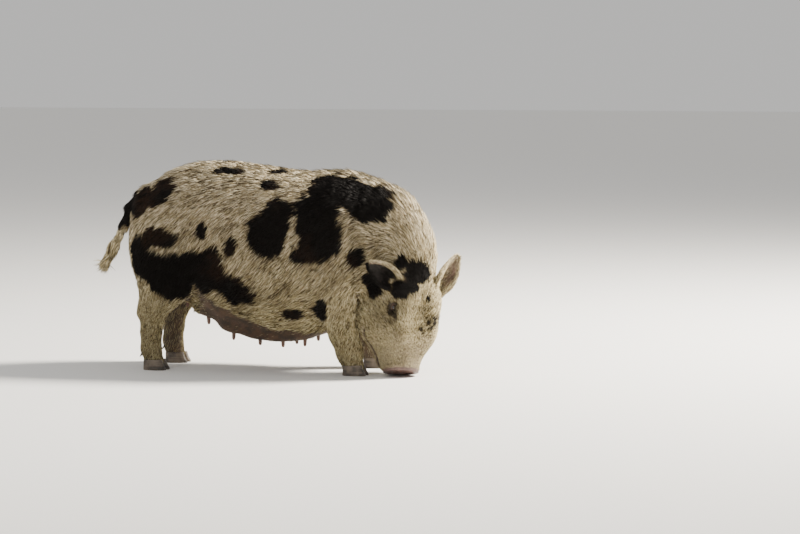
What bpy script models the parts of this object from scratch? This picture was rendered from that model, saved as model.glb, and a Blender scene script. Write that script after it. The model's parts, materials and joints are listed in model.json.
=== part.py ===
# A pot bellied sow, life size, standing square with her snout to the floor and her face turned to
# her right. Metres, +Z up, she faces +X and her left side is +Y. Her flesh is one smooth field,
# made into meshes and parted into named pieces by flat cuts. Ears, eyes, hooves and locks of
# bristle are their own meshes, set on the flesh.
import math

import bmesh
import bpy
import numpy as np
import openvdb
from mathutils import Matrix, Vector

# Driving dimensions
GAP = 0.0003
EAR_CLEAR = 1.3 * GAP
SOCKET_CLEAR = 1.6 * GAP
DEWCLAW_CLEAR = 1.5 * GAP
HOOF_TOP = 0.0262

# Torso, from the rump to the chest
# x, top, bottom, half width, height of the greatest width
TORSO = np.array([
    (-0.300, 0.466, 0.215, 0.112, 0.335),
    (-0.250, 0.498, 0.200, 0.136, 0.330),
    (-0.180, 0.516, 0.160, 0.156, 0.315),
    (-0.110, 0.518, 0.110, 0.176, 0.298),
    (-0.030, 0.511, 0.086, 0.190, 0.285),
    (0.050, 0.499, 0.080, 0.193, 0.280),
    (0.120, 0.491, 0.090, 0.184, 0.285),
    (0.190, 0.485, 0.125, 0.166, 0.300),
    (0.250, 0.464, 0.170, 0.146, 0.315),
])
RUMP_ROUND = 0.060
CHEST_ROUND = 0.070
LOFT_POWER = 2.2

# Neck: centres and radii from the withers to the poll
NECK = [
    ((0.215, 0.000, 0.332), 0.148),
    ((0.280, -0.010, 0.326), 0.128),
    ((0.324, -0.028, 0.292), 0.104),
]

# The head leans on its own axes: nod is nose down, turn is to her right, lean tips the snout to
# her right. Distance from the poll, height above the axis, depth below it, half width
HEAD_NOD = math.radians(78)
HEAD_TURN = math.radians(33)
HEAD_LEAN = math.radians(10.5)
HEAD_LENGTH = 0.280
SNOUT_END = Vector((0.363, -0.095, 0.0095))
HEAD = np.array([
    (0.000, 0.064, 0.085, 0.076),
    (0.040, 0.073, 0.098, 0.090),
    (0.085, 0.080, 0.100, 0.098),
    (0.130, 0.077, 0.093, 0.097),
    (0.170, 0.077, 0.086, 0.097),
    (0.210, 0.068, 0.072, 0.082),
    (0.245, 0.052, 0.052, 0.055),
    (0.268, 0.043, 0.040, 0.041),
])
POLL_ROUND = 0.050
SNOUT_ROUND = 0.010
SNOUT_DISC = 0.0435
SNOUT_DISC_BACK = 0.268
NOSTRIL = (0.281, 0.0145, 0.001)
NOSTRIL_RADII = (0.014, 0.0058, 0.0082)
# distance from the poll and height of the line of the mouth
MOUTH = np.array([(0.172, -0.022), (0.200, -0.034), (0.230, -0.034), (0.262, -0.030)])
MOUTH_GROOVE = 0.0055

# Masses on the flesh of one side, repeated on the other: centre, radii, tilt in degrees, blend.
# Hollows are taken away.
TORSO_MASSES = [
    ((0.170, 0.108, 0.325), (0.075, 0.058, 0.130), 18, 0.060),
    ((-0.224, 0.098, 0.315), (0.090, 0.062, 0.140), 26, 0.050),
    ((-0.205, 0.122, 0.235), (0.045, 0.038, 0.060), 20, 0.030),
]
TORSO_HOLLOWS = [
    ((-0.140, 0.208, 0.300), (0.040, 0.034, 0.090), 20, 0.050),
    ((0.085, 0.221, 0.340), (0.035, 0.034, 0.100), 12, 0.050),
]
HEAD_MASSES = [
    ((0.142, 0.060, -0.028), (0.058, 0.038, 0.042), 0, 0.030),
    ((0.125, 0.070, 0.005), (0.048, 0.024, 0.034), 0, 0.025),
    ((0.104, 0.042, 0.050), (0.042, 0.032, 0.024), 0, 0.030),
    ((0.225, 0.026, -0.030), (0.045, 0.026, 0.022), 0, 0.020),
]
HEAD_HOLLOWS = [
    ((0.195, 0.000, 0.110), (0.058, 0.034, 0.036), 0, 0.040),
    ((0.240, 0.080, 0.004), (0.028, 0.018, 0.026), 0, 0.030),
]

# Legs of one side, from the body to the foot; y is the distance from the midline
FORELEG = [
    ((0.190, 0.105, 0.300), 0.072),
    ((0.197, 0.108, 0.240), 0.062),
    ((0.205, 0.107, 0.190), 0.047),
    ((0.212, 0.103, 0.150), 0.0375),
    ((0.219, 0.100, 0.105), 0.0335),
    ((0.234, 0.097, 0.058), 0.0300),
    ((0.243, 0.095, 0.022), 0.0255),
]
HINDLEG = [
    ((-0.222, 0.095, 0.310), 0.080),
    ((-0.226, 0.112, 0.245), 0.062),
    ((-0.254, 0.106, 0.195), 0.049),
    ((-0.278, 0.100, 0.145), 0.0315),
    ((-0.282, 0.097, 0.095), 0.0235),
    ((-0.284, 0.095, 0.055), 0.0225),
    ((-0.276, 0.094, 0.022), 0.0245),
]
HOCK_POINT = [((-0.290, 0.100, 0.170), 0.020), ((-0.300, 0.100, 0.148), 0.015)]
LEFT_HIND_STEP = -0.008
LEG_BLEND = 0.030
HOCK_BLEND = 0.020
NECK_BLEND = 0.040
TAIL_BLEND = 0.012
# the jowl only rests against the foreleg: its blend there, and from the shoulder up
JOWL_BLEND = (0.002, 0.052)
JOWL_HEIGHT = (0.20, 0.30)

TAIL = [
    ((-0.335, 0.000, 0.430), 0.017),
    ((-0.366, 0.001, 0.400), 0.0135),
    ((-0.388, 0.004, 0.358), 0.0100),
    ((-0.412, 0.006, 0.312), 0.0078),
    ((-0.437, 0.006, 0.266), 0.0052),
]

# Udder: a row of teats on each side of the midline
TEAT_PLACES = (-0.200, -0.145, -0.078, -0.010, 0.050, 0.108)
TEAT_OUT = 0.056
TEAT_LENGTH = 0.017
TEAT_RADIUS = 0.0058
GLAND_RADII = (0.032, 0.028, 0.018)

# Eyes: place and gaze in the head's frame for her left side. The lids are a round mound over the
# eyeball, opened by a wedge with an almond section
EYE_PLACE = (0.132, 0.0610, 0.0490)
EYE_RADIUS = 0.0105
LID_RADIUS = 0.0134
EYE_LOOK = (0.16, 0.82, 0.55)
LID_OPENING = (0.0128, 0.0080)

# Ears: for each side, in the head's frame, the place of the root, the way to the tip and the way
# that the cup opens
EAR_LENGTH = 0.094
EARS = {
    "left": ((0.068, 0.073, 0.060), (-0.86, 0.376, 0.527), (0.35, 0.00, 0.93)),
    "right": ((0.072, -0.069, 0.057), (-0.32, -0.92, 0.15), (0.50, -0.19, 0.85)),
}
# share of the length, half width, radius of the cup
EAR = np.array([
    (-0.16, 0.022, 0.016),
    (0.00, 0.0265, 0.019),
    (0.20, 0.031, 0.027),
    (0.42, 0.030, 0.034),
    (0.64, 0.0235, 0.042),
    (0.84, 0.0145, 0.050),
    (0.96, 0.0065, 0.056),
])
EAR_BEND = 0.012
EAR_THICKNESS = (0.0060, 0.0028)
EAR_ACROSS = 6

# Hooves: two claws on each foot, and two dewclaws behind it. Share of the height, length and
# width of the claw there, how far its middle moves back
CLAW = np.array([
    (0.00, 0.058, 0.0250, 0.000),
    (0.10, 0.059, 0.0260, 0.000),
    (1.00, 0.046, 0.0235, -0.006),
])
CLAW_CLEFT = 0.0026
CLAW_FORWARD = 0.006
DEWCLAW_BACK = 0.021
DEWCLAW_OUT = 0.0125
DEWCLAW = [((0.006, 0.056), 0.0085), ((-0.004, 0.043), 0.0080), ((-0.011, 0.033), 0.0035)]

# Bristles: a crest of overlapping locks along the neck and the back, locks on the flanks and the
# cheeks, and a tassel at the end of the tail
CREST_LINE = np.array([
    (0.00, 0.440, -0.045, 0.330),
    (0.08, 0.395, -0.028, 0.392),
    (0.16, 0.340, -0.010, 0.444),
    (0.26, 0.255, 0.000, 0.484),
    (0.42, 0.100, 0.000, 0.494),
    (0.58, -0.060, 0.000, 0.514),
    (0.74, -0.215, 0.000, 0.508),
    (0.88, -0.325, 0.000, 0.455),
])
CREST_ROWS = (-0.092, -0.069, -0.046, -0.023, 0.0, 0.023, 0.046, 0.069, 0.092)
CREST_LENGTH = 0.87
CREST_SPACING = 0.050
CREST_SEED = 7
CREST_LOCK = (0.066, 0.018, 0.0044)
CREST_LIFT = 0.0090
TASSEL_COUNT = 10
TASSEL_LOCK = (0.058, 0.0090, 0.0036)
TASSEL_SEED = 3

# Cuts between the parts. Each plane is a place and the way to the side that is kept.
NECK_CUT = ((0.262, 0.000, 0.330), (0.93, 0.0, 0.36))
HEAD_CUT_AT = 0.035
HEAD_CUT_WAY = (0.906, 0.0, 0.423)
JOWL_CUTS = [((0.2595, 0, 0.2), (1, 0, 0)), ((0.2595, 0, 0.110), (0.90, 0, 0.43))]
SNOUT_CUT_AT = 0.262
TAIL_CUT = ((-0.3840, 0.003, 0.366), (-0.44, 0.010, -0.895))
LEG_CUTS = {
    "front": [((0.2, 0.105, 0.205), (0, 0.30, -0.95)), ((0.2, 0.045, 0.1), (-0.0, 0.97, 0.24)),
              ((0.14, 0.1, 0.1), (1, 0, 0)), ((0.2, 0.1, HOOF_TOP + GAP), (0, 0, 1))],
    "hind": [((-0.25, 0.105, 0.232), (-0.25, 0.30, -0.92)), ((-0.25, 0.040, 0.1), (0, 1, 0)),
             ((-0.190, 0.1, 0.1), (-0.95, 0, -0.3)), ((0.2, 0.1, HOOF_TOP + GAP), (0, 0, 1))],
}
# low corner, high corner, size of the cells, triangles
PIECES = {
    "torso": ((-0.40, -0.25, 0.03), (0.36, 0.25, 0.56), 0.006, 2600),
    "neck": ((0.20, -0.20, 0.18), (0.50, 0.19, 0.53), 0.006, 1100),
    "head": ((0.23, -0.26, -0.02), (0.54, 0.16, 0.36), 0.0035, 4400),
    "snout": ((0.29, -0.17, -0.02), (0.44, -0.02, 0.10), 0.0025, 520),
    "leg_front_left": ((0.12, 0.03, -0.01), (0.32, 0.22, 0.26), 0.005, 620),
    "leg_front_right": ((0.12, -0.22, -0.01), (0.32, -0.03, 0.26), 0.005, 620),
    "leg_hind_left": ((-0.38, 0.02, -0.01), (-0.13, 0.22, 0.29), 0.005, 700),
    "leg_hind_right": ((-0.38, -0.22, -0.01), (-0.13, -0.02, 0.29), 0.005, 700),
    "tail": ((-0.47, -0.03, 0.24), (-0.34, 0.04, 0.42), 0.0025, 240),
}
TAKEN_AWAY = {
    "torso": ("neck", "head", "tail", "leg_front_left", "leg_front_right", "leg_hind_left",
              "leg_hind_right"),
    "head": ("snout",),
    "leg_front_left": ("neck", "head"),
    "leg_front_right": ("neck", "head"),
}
COLOURS = {
    "cream": ((0.62, 0.55, 0.42), 0.75),
    "black": ((0.030, 0.026, 0.023), 0.65),
    "skin": ((0.30, 0.20, 0.17), 0.55),
    "horn": ((0.16, 0.13, 0.10), 0.45),
    "eye": ((0.02, 0.012, 0.008), 0.08),
}


def frame_of_head():
    turned = Matrix.Rotation(-HEAD_TURN, 3, "Z") @ Matrix.Rotation(HEAD_NOD, 3, "Y")
    upright = turned @ Vector((0, 0, 1))
    axes = Matrix.Rotation(-HEAD_LEAN, 3, upright) @ turned
    return axes, SNOUT_END - axes @ Vector((HEAD_LENGTH, 0, 0))


HEAD_AXES, HEAD_ORIGIN = frame_of_head()


def in_head(place):
    return HEAD_ORIGIN + HEAD_AXES @ Vector(place)


# The field of the flesh: negative inside, about a distance in metres near the surface

def smooth_union(a, b, blend):
    share = np.clip(0.5 + 0.5 * (b - a) / blend, 0, 1)
    return b + (a - b) * share - blend * share * (1 - share)


def smooth_cut(a, b, blend):
    return -smooth_union(-a, b, blend)


def smooth_step(low, high, at):
    share = np.clip((at - low) / (high - low), 0, 1)
    return share * share * (3 - 2 * share)


def curve_through(stations, at):
    """The columns of a table, read smoothly at places along its first column."""
    x = stations[:, 0]
    values = stations[:, 1:]
    slopes = np.gradient(values, x, axis=0)
    at = np.clip(at, x[0], x[-1])
    i = np.clip(np.searchsorted(x, at) - 1, 0, len(x) - 2)
    width = (x[i + 1] - x[i])[:, None]
    t = (at - x[i])[:, None] / width
    return (
        values[i] * (2 * t**3 - 3 * t**2 + 1)
        + slopes[i] * width * (t**3 - 2 * t**2 + t)
        + values[i + 1] * (3 * t**2 - 2 * t**3)
        + slopes[i + 1] * width * (t**3 - t**2)
    )


def loft_field(side, up, past, half, above, below, rounding):
    height = np.where(up > 0, above, below)
    ratio = (
        np.abs(side / half) ** LOFT_POWER
        + np.abs(up / height) ** LOFT_POWER
        + np.abs(past / rounding) ** LOFT_POWER
    ) ** (1 / LOFT_POWER)
    return np.sqrt(side**2 + up**2 + past**2) * (1 - 1 / np.maximum(ratio, 1e-3))


def ellipsoid_field(p, centre, radii, tilt=0):
    turn = np.array(Matrix.Rotation(math.radians(tilt), 3, "Y"))
    offset = (p - np.array(centre)) @ turn
    scaled = np.linalg.norm(offset / np.array(radii), axis=1)
    squared = np.linalg.norm(offset / np.array(radii) ** 2, axis=1)
    return scaled * (scaled - 1) / np.maximum(squared, 1e-6)


def chain_field(p, chain, shift=0.0, blend=0.02):
    found = np.full(len(p), 1.0)
    for (start, r0), (end, r1) in zip(chain[:-1], chain[1:]):
        a = np.array(start) + (shift, 0, 0)
        along = np.array(end) - np.array(start)
        t = np.clip((p - a) @ along / (along @ along), 0, 1)
        d = np.linalg.norm(p - a - t[:, None] * along, axis=1) - (r0 + t * (r1 - r0))
        found = smooth_union(found, d, blend)
    return found


def joined(found, p, centre, reach, blend, field):
    """Blends a small form in, worked out only at the places that it can reach."""
    i = np.flatnonzero(np.max(np.abs(p - np.array(centre)), axis=1) < reach + blend)
    if len(i):
        found[i] = smooth_union(found[i], field(p[i]), blend)
    return found


def with_masses(found, p, masses, hollows):
    for mirror in (-1, 1):
        for centre, radii, tilt, blend in masses:
            place = np.array(centre) * (1, mirror, 1)
            form = lambda q: ellipsoid_field(q, place, radii, tilt)
            found = joined(found, p, place, max(radii), blend, form)
        for centre, radii, tilt, blend in hollows:
            place = np.array(centre) * (1, mirror, 1)
            form = lambda q: ellipsoid_field(q, place, radii, tilt)
            found = -joined(-found, p, place, max(radii), blend, form)
    return found


def belly_height(x, out):
    top, bottom, half, middle = curve_through(TORSO, np.array([x]))[0]
    share = (1 - (out / half) ** LOFT_POWER) ** (1 / LOFT_POWER)
    return middle - (middle - bottom) * share


def udder_field(found, p):
    for mirror in (-1, 1):
        for x in TEAT_PLACES:
            place = np.array((x, mirror * TEAT_OUT, belly_height(x, TEAT_OUT)))
            form = lambda q: ellipsoid_field(q, place + (0, 0, 0.008), GLAND_RADII)
            found = joined(found, p, place, max(GLAND_RADII), 0.020, form)
            tip = place + (0.001, mirror * 0.003, -0.008 - TEAT_LENGTH)
            teat = [(place, TEAT_RADIUS * 1.15), (tip, TEAT_RADIUS * 0.75)]
            form = lambda q: chain_field(q, teat)
            found = joined(found, p, place, 0.035, 0.006, form)
    return found


def torso_field(p):
    x = p[:, 0]
    top, bottom, half, middle = curve_through(TORSO, x).T
    past = x - np.clip(x, TORSO[0, 0], TORSO[-1, 0])
    rounding = np.where(past < 0, RUMP_ROUND, CHEST_ROUND)
    found = loft_field(
        p[:, 1], p[:, 2] - middle, past, half, top - middle, middle - bottom, rounding
    )
    return with_masses(udder_field(found, p), p, TORSO_MASSES, TORSO_HOLLOWS)


def head_field(p):
    local = (p - np.array(HEAD_ORIGIN)) @ np.array(HEAD_AXES)
    along = local[:, 0]
    above, below, half = curve_through(HEAD, along).T
    past = along - np.clip(along, HEAD[0, 0], HEAD[-1, 0])
    rounding = np.where(past < 0, POLL_ROUND, SNOUT_ROUND)
    found = loft_field(local[:, 1], local[:, 2], past, half, above, below, rounding)
    found = with_masses(found, local, HEAD_MASSES, HEAD_HOLLOWS)
    # the disc of the snout, with a nostril on each side
    across = np.hypot(local[:, 1] / 1.06, local[:, 2] - 0.002) - SNOUT_DISC
    thick = np.abs(along - (SNOUT_DISC_BACK + HEAD_LENGTH) / 2)
    disc = np.maximum(across, thick - (HEAD_LENGTH - SNOUT_DISC_BACK) / 2)
    found = smooth_union(found, disc, 0.006)
    # the line of the mouth runs in a groove round the jaw, up to the corner of the mouth
    height = curve_through(MOUTH, along)[:, 0]
    groove = np.hypot(found, local[:, 2] - height) - MOUTH_GROOVE
    groove = np.maximum(groove, MOUTH[0, 0] - along)
    groove = np.maximum(groove, along - MOUTH[-1, 0])
    found = smooth_cut(found, groove, 0.002)
    for mirror in (-1, 1):
        place = np.array(EYE_PLACE) * (1, mirror, 1)
        form = lambda q: ellipsoid_field(q, place, (LID_RADIUS,) * 3)
        found = joined(found, local, place, LID_RADIUS, 0.008, form)
        place = np.array(NOSTRIL) * (1, mirror, 1)
        form = lambda q: ellipsoid_field(q, place, NOSTRIL_RADII)
        found = -joined(-found, local, place, 0.02, 0.002, form)
    return found


def legs_field(found, p):
    mirrored = np.abs(p[:, 1])
    q = np.stack([p[:, 0], mirrored, p[:, 2]], axis=1)
    for left in (False, True):
        own = np.flatnonzero((p[:, 1] > 0) == left)
        shift = LEFT_HIND_STEP if left else 0
        for chain, step in ((FORELEG, 0), (HINDLEG, shift)):
            form = chain_field(q[own], chain, step)
            found[own] = smooth_union(found[own], form, LEG_BLEND)
        form = chain_field(q[own], HOCK_POINT, shift)
        found[own] = smooth_union(found[own], form, HOCK_BLEND)
    return found


def flesh_field(p):
    body = legs_field(torso_field(p), p)
    neck = chain_field(p, NECK, blend=NECK_BLEND)
    front = smooth_union(neck, head_field(p), NECK_BLEND)
    low, high = JOWL_BLEND
    body = smooth_union(body, front, low + (high - low) * smooth_step(*JOWL_HEIGHT, p[:, 2]))
    return smooth_union(body, chain_field(p, TAIL, blend=TAIL_BLEND), TAIL_BLEND)


def on_flesh(p):
    """The nearest place on the flesh to each point, and the way out of the flesh there."""
    p = np.array(p, dtype=float)
    step = 0.0015
    for turn in range(4):
        slopes = [
            flesh_field(p + offset) - flesh_field(p - offset) for offset in np.eye(3) * step
        ]
        slope = np.stack(slopes, axis=1) / (2 * step)
        steep = np.linalg.norm(slope, axis=1, keepdims=True)
        out = slope / np.maximum(steep, 1e-6)
        p = p - out * (flesh_field(p) / np.maximum(steep[:, 0], 0.5))[:, None]
    return p, out


# Meshes and objects

def link(name, mesh):
    shape = bpy.data.objects.new(name, mesh)
    bpy.context.scene.collection.objects.link(shape)
    return shape


def mesh_of(vertices, faces):
    mesh = bpy.data.meshes.new("form")
    mesh.from_pydata([tuple(v) for v in vertices], [], [tuple(f) for f in faces])
    bm = bmesh.new()
    bm.from_mesh(mesh)
    bmesh.ops.recalc_face_normals(bm, faces=bm.faces)
    bmesh.ops.triangulate(bm, faces=bm.faces)
    bm.to_mesh(mesh)
    bm.free()
    return mesh


def apply_modifiers(shape):
    graph = bpy.context.evaluated_depsgraph_get()
    graph.update()
    mesh = bpy.data.meshes.new_from_object(shape.evaluated_get(graph))
    shape.modifiers.clear()
    shape.data = mesh
    return shape


def remove(shape):
    bpy.data.objects.remove(shape, do_unlink=True)


def grid_points(places):
    return np.stack(np.meshgrid(*places, indexing="ij"), axis=-1).reshape(-1, 3)


def flesh_mesh(name, low, high, voxel, triangles):
    """The flesh inside a box as one closed mesh, made sparser to a number of triangles."""
    counts = np.ceil((np.array(high) - np.array(low)) / voxel).astype(int) + 1
    places = [low[i] + voxel * np.arange(counts[i]) for i in range(3)]
    rough_places = [at[::3] for at in places]
    rough = flesh_field(grid_points(rough_places)).reshape([len(at) for at in rough_places])
    for axis in range(3):
        rough = rough.repeat(3, axis=axis)
    rough = rough[: counts[0], : counts[1], : counts[2]].reshape(-1)
    values = np.clip(rough, -0.02, 0.02)
    close = np.flatnonzero(np.abs(rough) < 8 * voxel)
    values[close] = np.clip(flesh_field(grid_points(places)[close]), -0.02, 0.02)
    grid = openvdb.FloatGrid(1.0)
    grid.copyFromArray(values.reshape(counts).astype(np.float32))
    points, quads = grid.convertToQuads(0.0)
    mesh = bpy.data.meshes.new(name)
    mesh.from_pydata((points * voxel + np.array(low)).tolist(), [], quads.tolist())
    shape = link(name, mesh)
    keep_largest(shape)
    thin = shape.modifiers.new("sparser", "DECIMATE")
    thin.ratio = triangles / (2 * len(shape.data.polygons))
    thin.use_collapse_triangulate = True
    return apply_modifiers(shape)


def keep_largest(shape):
    """Leaves only the largest closed surface, turned outward."""
    bm = bmesh.new()
    bm.from_mesh(shape.data)
    bm.verts.ensure_lookup_table()
    seen = set()
    islands = []
    for start in bm.verts:
        if start in seen:
            continue
        seen.add(start)
        island = [start]
        for vertex in island:
            for edge in vertex.link_edges:
                other = edge.other_vert(vertex)
                if other not in seen:
                    seen.add(other)
                    island.append(other)
        islands.append(island)
    islands.sort(key=len)
    loose = [vertex for island in islands[:-1] for vertex in island]
    bmesh.ops.delete(bm, geom=loose, context="VERTS")
    bmesh.ops.recalc_face_normals(bm, faces=bm.faces)
    bm.to_mesh(shape.data)
    bm.free()
    return len(islands)


def block(planes, grow=0.0):
    """A convex block: the side of each plane to which its normal points, moved out by grow."""
    bm = bmesh.new()
    bmesh.ops.create_cube(bm, size=3.0)
    for point, normal in planes:
        out = Vector(normal).normalized()
        geometry = bm.verts[:] + bm.edges[:] + bm.faces[:]
        bmesh.ops.bisect_plane(
            bm, geom=geometry, plane_co=Vector(point) - out * grow, plane_no=out, clear_inner=True
        )
        open_edges = [edge for edge in bm.edges if edge.is_boundary]
        bmesh.ops.holes_fill(bm, edges=open_edges)
    bmesh.ops.recalc_face_normals(bm, faces=bm.faces)
    mesh = bpy.data.meshes.new("block")
    bm.to_mesh(mesh)
    bm.free()
    shape = link("block", mesh)
    shape.hide_render = True
    shape.display_type = "WIRE"
    return shape


def boolean(shape, cutter, operation):
    tool = shape.modifiers.new("boolean", "BOOLEAN")
    tool.operation = operation
    tool.solver = "EXACT"
    tool.object = cutter
    apply_modifiers(shape)
    remove(cutter)
    return shape


def joined_with(shape, others):
    """One union of a form and a collection of closed forms."""
    helpers = bpy.data.collections.new("helpers")
    bpy.context.scene.collection.children.link(helpers)
    for other in others:
        bpy.context.scene.collection.objects.unlink(other)
        helpers.objects.link(other)
    tool = shape.modifiers.new("union", "BOOLEAN")
    tool.operation = "UNION"
    tool.solver = "EXACT"
    tool.operand_type = "COLLECTION"
    tool.collection = helpers
    apply_modifiers(shape)
    for other in list(helpers.objects):
        remove(other)
    bpy.data.collections.remove(helpers)
    return shape


def grown_copy(shape, distance):
    """A copy of a closed form, every vertex moved out."""
    mesh = shape.data.copy()
    bm = bmesh.new()
    bm.from_mesh(mesh)
    bm.normal_update()
    moves = [(vertex, vertex.normal * distance) for vertex in bm.verts]
    for vertex, move in moves:
        vertex.co += move
    bm.to_mesh(mesh)
    bm.free()
    return link("grown", mesh)


def colour(shape, name):
    base, roughness = COLOURS[name]
    material = bpy.data.materials.new(shape.name)
    material.use_nodes = True
    shader = material.node_tree.nodes["Principled BSDF"]
    shader.inputs["Base Color"].default_value = (*base, 1)
    shader.inputs["Roughness"].default_value = roughness
    shape.data.materials.clear()
    shape.data.materials.append(material)
    for face in shape.data.polygons:
        face.material_index = 0


# Cuts between the parts

HEAD_CUT = (tuple(in_head((HEAD_CUT_AT, 0, 0))), tuple(HEAD_AXES @ Vector(HEAD_CUT_WAY)))
NOT_HEAD = (HEAD_CUT[0], tuple(-Vector(HEAD_CUT[1])))
SNOUT_CUT = (tuple(in_head((SNOUT_CUT_AT, 0, 0))), tuple(HEAD_AXES @ Vector((1, 0, 0))))
CUTS = {
    "neck": [NECK_CUT, NOT_HEAD],
    "head": [HEAD_CUT, *JOWL_CUTS],
    "snout": [SNOUT_CUT, ((0, 0, 0), (0, 0, 1))],
    "tail": [TAIL_CUT, ((-0.3665, 0, 0.3), (-1, 0, 0)), ((0, 0, 0.40), (0, 0, -1))],
}
for side, mirror in (("left", 1), ("right", -1)):
    for leg, planes in LEG_CUTS.items():
        CUTS[f"leg_{leg}_{side}"] = [
            ((x, y * mirror, z), (a, b * mirror, c)) for (x, y, z), (a, b, c) in planes
        ]


def part_of_flesh(name):
    low, high, voxel, triangles = PIECES[name]
    shape = flesh_mesh(name, low, high, voxel, triangles)
    for other in TAKEN_AWAY.get(name, ()):
        boolean(shape, block(CUTS[other], GAP), "DIFFERENCE")
    if name in CUTS:
        boolean(shape, block(CUTS[name]), "INTERSECT")
    keep_largest(shape)
    return shape


# Locks of bristle

def lock(stations, sides, outs, width, thickness):
    """A flat tapered lock along the stations, with its point at the last one."""
    vertices = []
    faces = []
    count = len(stations)
    for k in range(count - 1):
        share = k / (count - 1)
        half = width * 0.5 * (1 - share**2) ** 0.8
        thick = thickness * 0.5 * (1 - 0.5 * share)
        moves = (sides[k] * half, outs[k] * thick, -sides[k] * half, -outs[k] * thick)
        vertices.extend(stations[k] + move for move in moves)
    vertices.append(stations[-1])
    faces.append((0, 1, 2, 3))
    for k in range(count - 2):
        for i in range(4):
            j = (i + 1) % 4
            faces.append((4 * k + i, 4 * k + j, 4 * k + 4 + j, 4 * k + 4 + i))
    last = 4 * (count - 2)
    faces.extend((last + i, last + (i + 1) % 4, last + 4) for i in range(4))
    return np.array(vertices), faces


def lay_locks(roots, ways, lengths, widths, thickness, lifts):
    """Locks that start in the flesh, follow it and leave it towards their tips."""
    shares = (0.0, 0.34, 0.68, 1.0)
    place = roots
    lie = ways
    stations = []
    sides = []
    outs = []
    for k, share in enumerate(shares):
        step = share - shares[max(k - 1, 0)]
        place, out = on_flesh(place + lie * (lengths * step)[:, None])
        lie = lie - out * np.sum(lie * out, axis=1, keepdims=True)
        lie = lie / np.linalg.norm(lie, axis=1, keepdims=True)
        height = -0.0035 + (lifts + 0.0035) * share**1.3
        stations.append(place + out * height[:, None])
        sides.append(np.cross(out, lie))
        outs.append(out)
    locks = []
    for i in range(len(roots)):
        own = [[row[i] for row in rows] for rows in (stations, sides, outs)]
        locks.append(lock(*own, widths[i], thickness))
    return locks


def all_inside(vertices, planes, margin=0.002):
    for point, normal in planes:
        out = np.array(Vector(normal).normalized())
        if np.min((vertices - np.array(point)) @ out) < margin:
            return False
    return True


def all_clear(vertices, planes, margin=0.002):
    """True where every vertex is behind one and the same plane of a neighbour's block."""
    for point, normal in planes:
        out = np.array(Vector(normal).normalized())
        if np.max((vertices - np.array(point)) @ out) < -margin:
            return True
    return False


def crest_locks():
    """The locks of the crest for each part of the flesh; a lock that would reach over a cut is
    made shorter, or left out."""
    rng = np.random.default_rng(CREST_SEED)
    roots = []
    ways = []
    for row, out in enumerate(CREST_ROWS):
        first = CREST_SPACING * (row % 2) * 0.5
        for at in np.arange(first, CREST_LENGTH, CREST_SPACING):
            at = at + rng.uniform(-0.2, 0.2) * CREST_SPACING
            ends = curve_through(CREST_LINE, np.array([at, at + 0.02]))
            way = (ends[1] - ends[0]) / 0.02
            roots.append(ends[0] + (0, out + rng.uniform(-0.003, 0.003), 0))
            ways.append(way + (0, 0.30 * np.sign(out) + rng.uniform(-0.22, 0.22), 0))
    roots = np.array(roots)
    ways = np.array(ways)
    sizes = rng.uniform(0.8, 1.2, (3, len(roots)))
    found = {"neck": [], "torso": []}
    waiting = np.arange(len(roots))
    for shorter in (1.0, 0.7, 0.45):
        locks = lay_locks(
            roots[waiting],
            ways[waiting],
            CREST_LOCK[0] * shorter * sizes[0][waiting],
            CREST_LOCK[1] * sizes[1][waiting],
            CREST_LOCK[2],
            CREST_LIFT * sizes[2][waiting],
        )
        left = []
        for i, (vertices, faces) in zip(waiting, locks):
            if all_inside(vertices, CUTS["neck"]):
                found["neck"].append(link("lock", mesh_of(vertices, faces)))
            elif all_clear(vertices, [NECK_CUT]) and all_clear(vertices, CUTS["tail"]):
                found["torso"].append(link("lock", mesh_of(vertices, faces)))
            else:
                left.append(i)
        waiting = np.array(left)
        if not left:
            break
    return found


def tassel_locks():
    rng = np.random.default_rng(TASSEL_SEED)
    end = np.array(TAIL[-1][0])
    before = np.array(TAIL[-2][0])
    down = (end - before) / np.linalg.norm(end - before)
    front = np.cross(down, (0, 1, 0))
    locks = []
    for k in range(TASSEL_COUNT):
        angle = 2 * math.pi * (k + rng.uniform(-0.2, 0.2)) / TASSEL_COUNT
        out = front * math.cos(angle) + np.array((0, 1, 0)) * math.sin(angle)
        start = end - down * rng.uniform(0.004, 0.032)
        length = TASSEL_LOCK[0] * rng.uniform(0.75, 1.1)
        spread = rng.uniform(0.10, 0.24)
        shares = np.array((0.0, 0.34, 0.68, 1.0))[:, None]
        stations = start + down * length * shares + out * (0.001 + length * spread * shares**1.4)
        side = np.cross(down, out)
        lock_mesh = lock(stations, [side] * 4, [out] * 4, TASSEL_LOCK[1], TASSEL_LOCK[2])
        locks.append(link("lock", mesh_of(*lock_mesh)))
    return locks


# Ears, eyes and hooves

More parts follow.
